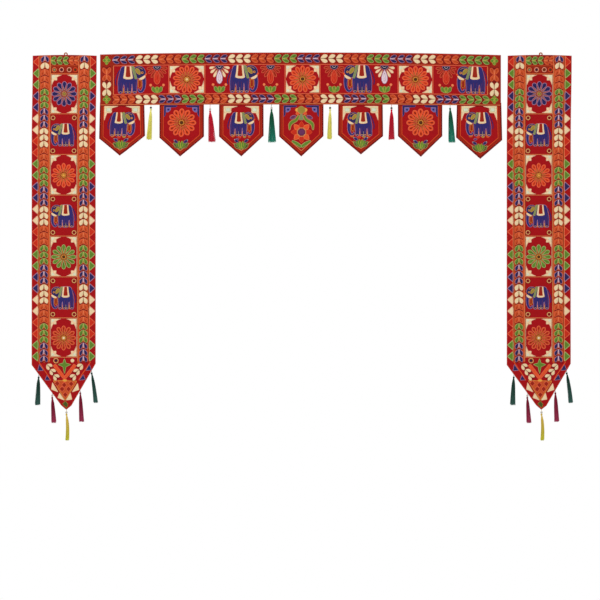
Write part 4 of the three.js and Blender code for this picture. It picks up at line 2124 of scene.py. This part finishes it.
@dataclass(frozen=True)
class BeadKind:
    """A bead's finish: its record slot and screen colour."""

    slot: str
    colour: tuple[int, int, int]

    def material(self) -> bpy.types.Material:
        """A polished finish with faint bands of grain.

        Returns:
            The Blender material.
        """
        name = f"{self.slot}_polish"
        known = bpy.data.materials.get(name)
        if known:
            return known
        made, graph, shader = new_material(name)
        place = graph.node("ShaderNodeTexCoord")
        grain = graph.node("ShaderNodeTexNoise", noise_dimensions="3D")
        graph.put(grain.inputs["Vector"], place.outputs["Object"])
        graph.put(grain.inputs["Scale"], 900.0)
        colour = linear(*self.colour)
        base = graph.mix(grain.outputs[0], shaded(colour, 0.65), shaded(colour, 1.2))
        graph.put(shader.inputs["Base Color"], base)
        graph.put(shader.inputs["Roughness"], 0.3)
        graph.put(shader.inputs["Coat Weight"], 0.3)
        return made


DARK_BEAD = BeadKind("bead_dark", (58, 34, 30))
PALE_BEAD = BeadKind("bead_pale", (206, 198, 184))


@dataclass(frozen=True)
class Bead:
    """A round bead on a tassel's thread, where its solid is."""

    name: str
    kind: BeadKind
    radius: float = 2.9
    height: float = 4.6
    bore: float = 0.85
    turns: int = 24

    def build(self) -> None:
        """Spins the bead about its bore."""
        low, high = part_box(self.name)
        centre = (low + high) / 2
        form = bmesh.new()
        half = self.height / 2
        side = [complex(self.bore, -half * 0.86), complex(self.bore + 0.25, -half * 0.97)]
        tall = half / math.sin(math.radians(62))
        for k in range(9):
            angle = math.radians(-62 + 124 * k / 8)
            side.append(complex(self.radius * math.cos(angle), tall * math.sin(angle)))
        side += [complex(self.bore + 0.25, half * 0.97), complex(self.bore, half * 0.86)]
        corners = [form.verts.new((p.real, 0, p.imag)) for p in side]
        edges = [form.edges.new(pair) for pair in zip(corners, corners[1:] + corners[:1])]
        bmesh.ops.spin(form, geom=corners + edges, cent=(0, 0, 0), axis=(0, 0, 1), angle=2 * math.pi,
                       steps=self.turns, use_merge=True)
        bmesh.ops.remove_doubles(form, verts=form.verts, dist=1e-4)
        bmesh.ops.recalc_face_normals(form, faces=form.faces)
        form.transform(Matrix.Translation(centre) @ Matrix.Diagonal((MM, MM, MM, 1)))
        mesh = meshed(self.name, form)
        mesh.materials.append(self.kind.material())
        piece = finished(self.name, mesh, slot=self.kind.slot)
        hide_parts(self.name)


@dataclass(frozen=True)
class HangingLoop:
    """The thread loop at the top of a side panel: a ring of cord, wound with thread."""

    side: str
    radius: float = 3.4
    cord: float = 1.6
    winds: int = 44

    def build(self) -> None:
        """Makes the core and its winding as one piece, where the solid is."""
        name = f"hanging_loop_{self.side}"
        low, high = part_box(name)
        centre = (low + high) / 2
        core = [(self.radius * math.cos(a), 0.0, self.radius * math.sin(a))
                for a in (2 * math.pi * k / 32 for k in range(32))]
        winding = []
        out = self.cord - 0.3
        for k in range(self.winds * 8):
            around = 2 * math.pi * k / (self.winds * 8)
            about = 2 * math.pi * k / 8
            reach = self.radius + out * math.cos(about)
            winding.append((reach * math.cos(around), out * math.sin(about), reach * math.sin(around)))
        cords = [Cord(path, [radius] * len(path), closed=True)
                 for path, radius in ((core, self.cord - 0.45), (winding, 0.3))]
        wound = Finish("loop_winding", linear(190, 96, 36), "twist", dark=0.75).material()
        mesh = corded(name, cords, [wound], resolution=1)
        mesh.transform(Matrix.Translation(centre) @ Matrix.Diagonal((MM, MM, MM, 1)))
        piece = finished(name, mesh, slot="loop_thread")
        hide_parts(name)


@dataclass(frozen=True)
class Studio:
    """The pale floor, the soft lights and the camera."""

    centre: tuple[float, float, float] = (-0.00125, 0.0, -0.61875)
    view_width: float = 1.5
    distance: float = 20.0
    floor_height: float = -1.45

    def build(self) -> None:
        """Sets up the floor, lights, world and camera."""
        self.floor()
        self.lights()
        self.camera()

    def floor(self) -> None:
        """Adds the pale floor under the hanging."""
        form = bmesh.new()
        bmesh.ops.create_grid(form, x_segments=2, y_segments=2, size=1.5)
        bmesh.ops.translate(form, verts=form.verts, vec=(0, 0, self.floor_height))
        mesh = meshed("studio_floor", form)
        floor = bpy.data.objects.new("studio_floor", mesh)
        bpy.context.scene.collection.objects.link(floor)
        paint, _, shader = new_material("studio_floor")
        shader.inputs["Base Color"].default_value = (0.86, 0.85, 0.83, 1)
        shader.inputs["Roughness"].default_value = 0.8
        mesh.materials.append(paint)

    def lights(self) -> None:
        """Adds a key light, a fill light and a white world."""
        for name, place, size, power in (
            ("key_light", (-1.6, -3.0, 1.4), 1.8, 66.0),
            ("fill_light", (2.2, -3.2, -0.4), 2.4, 28.0),
        ):
            lamp = bpy.data.lights.new(name, "AREA")
            lamp.size = size
            lamp.energy = power
            light = bpy.data.objects.new(name, lamp)
            light.location = place
            aim = Vector(self.centre) - Vector(place)
            light.rotation_euler = aim.to_track_quat("-Z", "Y").to_euler()
            bpy.context.scene.collection.objects.link(light)
        world = bpy.data.worlds.new("studio_world")
        world.use_nodes = True
        bpy.context.scene.world = world
        graph = Graph(world.node_tree)
        backdrop = world.node_tree.nodes["Background"]
        backdrop.inputs["Color"].default_value = (1, 1, 1, 1)
        backdrop.inputs["Strength"].default_value = 1.0
        soft = graph.node("ShaderNodeBackground")
        soft.inputs["Strength"].default_value = 0.6
        seen = graph.node("ShaderNodeLightPath")
        choice = graph.node("ShaderNodeMixShader")
        graph.put(choice.inputs[0], seen.outputs["Is Camera Ray"])
        graph.put(choice.inputs[1], soft.outputs[0])
        graph.put(choice.inputs[2], backdrop.outputs[0])
        graph.put(world.node_tree.nodes["World Output"].inputs[0], choice.outputs[0])
        bpy.context.scene.view_settings.view_transform = "Standard"

    def camera(self) -> None:
        """Adds a long lens that looks straight at the hanging."""
        lens = bpy.data.cameras.new("camera")
        lens.lens = 36 * self.distance / self.view_width
        lens.clip_end = 100
        camera = bpy.data.objects.new("camera", lens)
        camera.location = Vector(self.centre) - Vector((0, self.distance, 0))
        camera.rotation_euler = (math.radians(90), 0, 0)
        bpy.context.scene.collection.objects.link(camera)
        bpy.context.scene.camera = camera


def pendants(band: Band) -> list[Pendant]:
    """The seven pendants, each with its own small unevenness, as the solids have them.

    Args:
        band: The band that they hang from.

    Returns:
        The pendants, left to right.
    """
    rows = (
        (-446.0, -215, -208, -6, -258, 3.0, 6.0),
        (-297.0, -213, -210, -4, -260, -0.5, 1.0),
        (-148.0, -210, -208, 0, -260, 2.0, 1.0),
        (2.0, -210, -209, 0, -260, 4.0, 0.0),
        (150.0, -206, -209, 1, -255, 1.0, 3.0),
        (299.0, -209, -209, 2, -261, 2.5, 0.0),
        (446.5, -212, -219, 3, -266, -1.0, 7.0),
    )
    return [Pendant(number + 1, *row, band) for number, row in enumerate(rows)]


def toran_tassels(band: Band) -> tuple[list[Tassel], list[Bead]]:
    """The tassels between the pendants, and their beads.

    Args:
        band: The band that they hang from.

    Returns:
        The tassels and the beads.
    """
    rows = (
        (-374.0, 9, 87, -4.5, 14, YELLOW, DARK_BEAD),
        (-226.0, 14, 94, 5.0, 19, RED, PALE_BEAD),
        (-72.5, 11, 95, 1.5, 21, GREEN, PALE_BEAD),
        (74.0, 11, 87, -1.5, 13, YELLOW, DARK_BEAD),
        (227.5, 11, 88, 0.0, 16, RED, DARK_BEAD),
        (374.0, 6, 94, 4.5, 18, GREEN, None),
    )
    tassels, beads = [], []
    for number, (x, thread, drop, lean, width, yarn, bead) in enumerate(rows, 1):
        hung = band.hang(np.array([[x, 0.0, -band.height]]))[0] / MM
        edge = (hung[0], hung[1], hung[2] - GAP)
        tassels.append(Tassel(f"toran_tassel_{number}", edge, thread, drop, lean, width, yarn))
        if bead:
            beads.append(Bead(f"toran_bead_{number}", bead))
    return tassels, beads


def foot_tassels(panel: SidePanel) -> tuple[list[Tassel], list[Bead]]:
    """The tassels along a side panel's foot, and their beads.

    Args:
        panel: The panel that they hang from.

    Returns:
        The tassels and the beads.
    """
    rows = (
        (-62.5, 3.5, 76, -2.5, 14, BOTTLE, None, 0.0),
        (-28.5, 8, 74, 4.0, 13, MAROON, PALE_BEAD, 0.0),
        (7.0, 9, 77, 2.0, 10, MUSTARD, PALE_BEAD, 2.0),
        (41.5, 3.5, 78, 3.5, 13, MAROON, None, 0.0),
        (70.0, 3, 80, 10.0, 12, BOTTLE, None, 1.0),
    )
    tassels, beads = [], []
    for number, (x, thread, drop, lean, width, yarn, bead, bow) in enumerate(rows, 1):
        corners = np.array([[at, 0.0, -panel.foot(at)] for at in (x - 0.55, x + 0.55)])
        hung = panel.hang(corners) / MM
        edge = (hung[:, 0].mean(), hung[:, 1].mean(), hung[:, 2].min() - GAP)
        name = f"side_tassel_{panel.side}_{number}"
        tassels.append(Tassel(name, edge, thread, drop, lean, width, yarn, bow))
        if bead:
            beads.append(Bead(f"side_bead_{panel.side}_{number}", bead))
    return tassels, beads


def main() -> None:
    """Builds the whole hanging, and logs its progress and how many tassels and beads it made."""
    logging.basicConfig(level=logging.INFO, format="%(name)s: %(message)s")
    maker = StitchMaker()
    Studio().build()
    band = Band()
    band.build(maker)
    LOG.info("band made")
    for pendant in pendants(band):
        pendant.build(maker)
        LOG.info("pendant %d made", pendant.number)
    tassels, beads = toran_tassels(band)
    for panel in (SidePanel("left", -589.5), SidePanel("right", 598.0)):
        panel.build(maker)
        HangingLoop(panel.side).build()
        more_tassels, more_beads = foot_tassels(panel)
        tassels += more_tassels
        beads += more_beads
        LOG.info("%s side panel made", panel.side)
    for piece in [*tassels, *beads]:
        piece.build()
    LOG.info("%d tassels and %d beads made", len(tassels), len(beads))


if __name__ == "__main__":
    main()
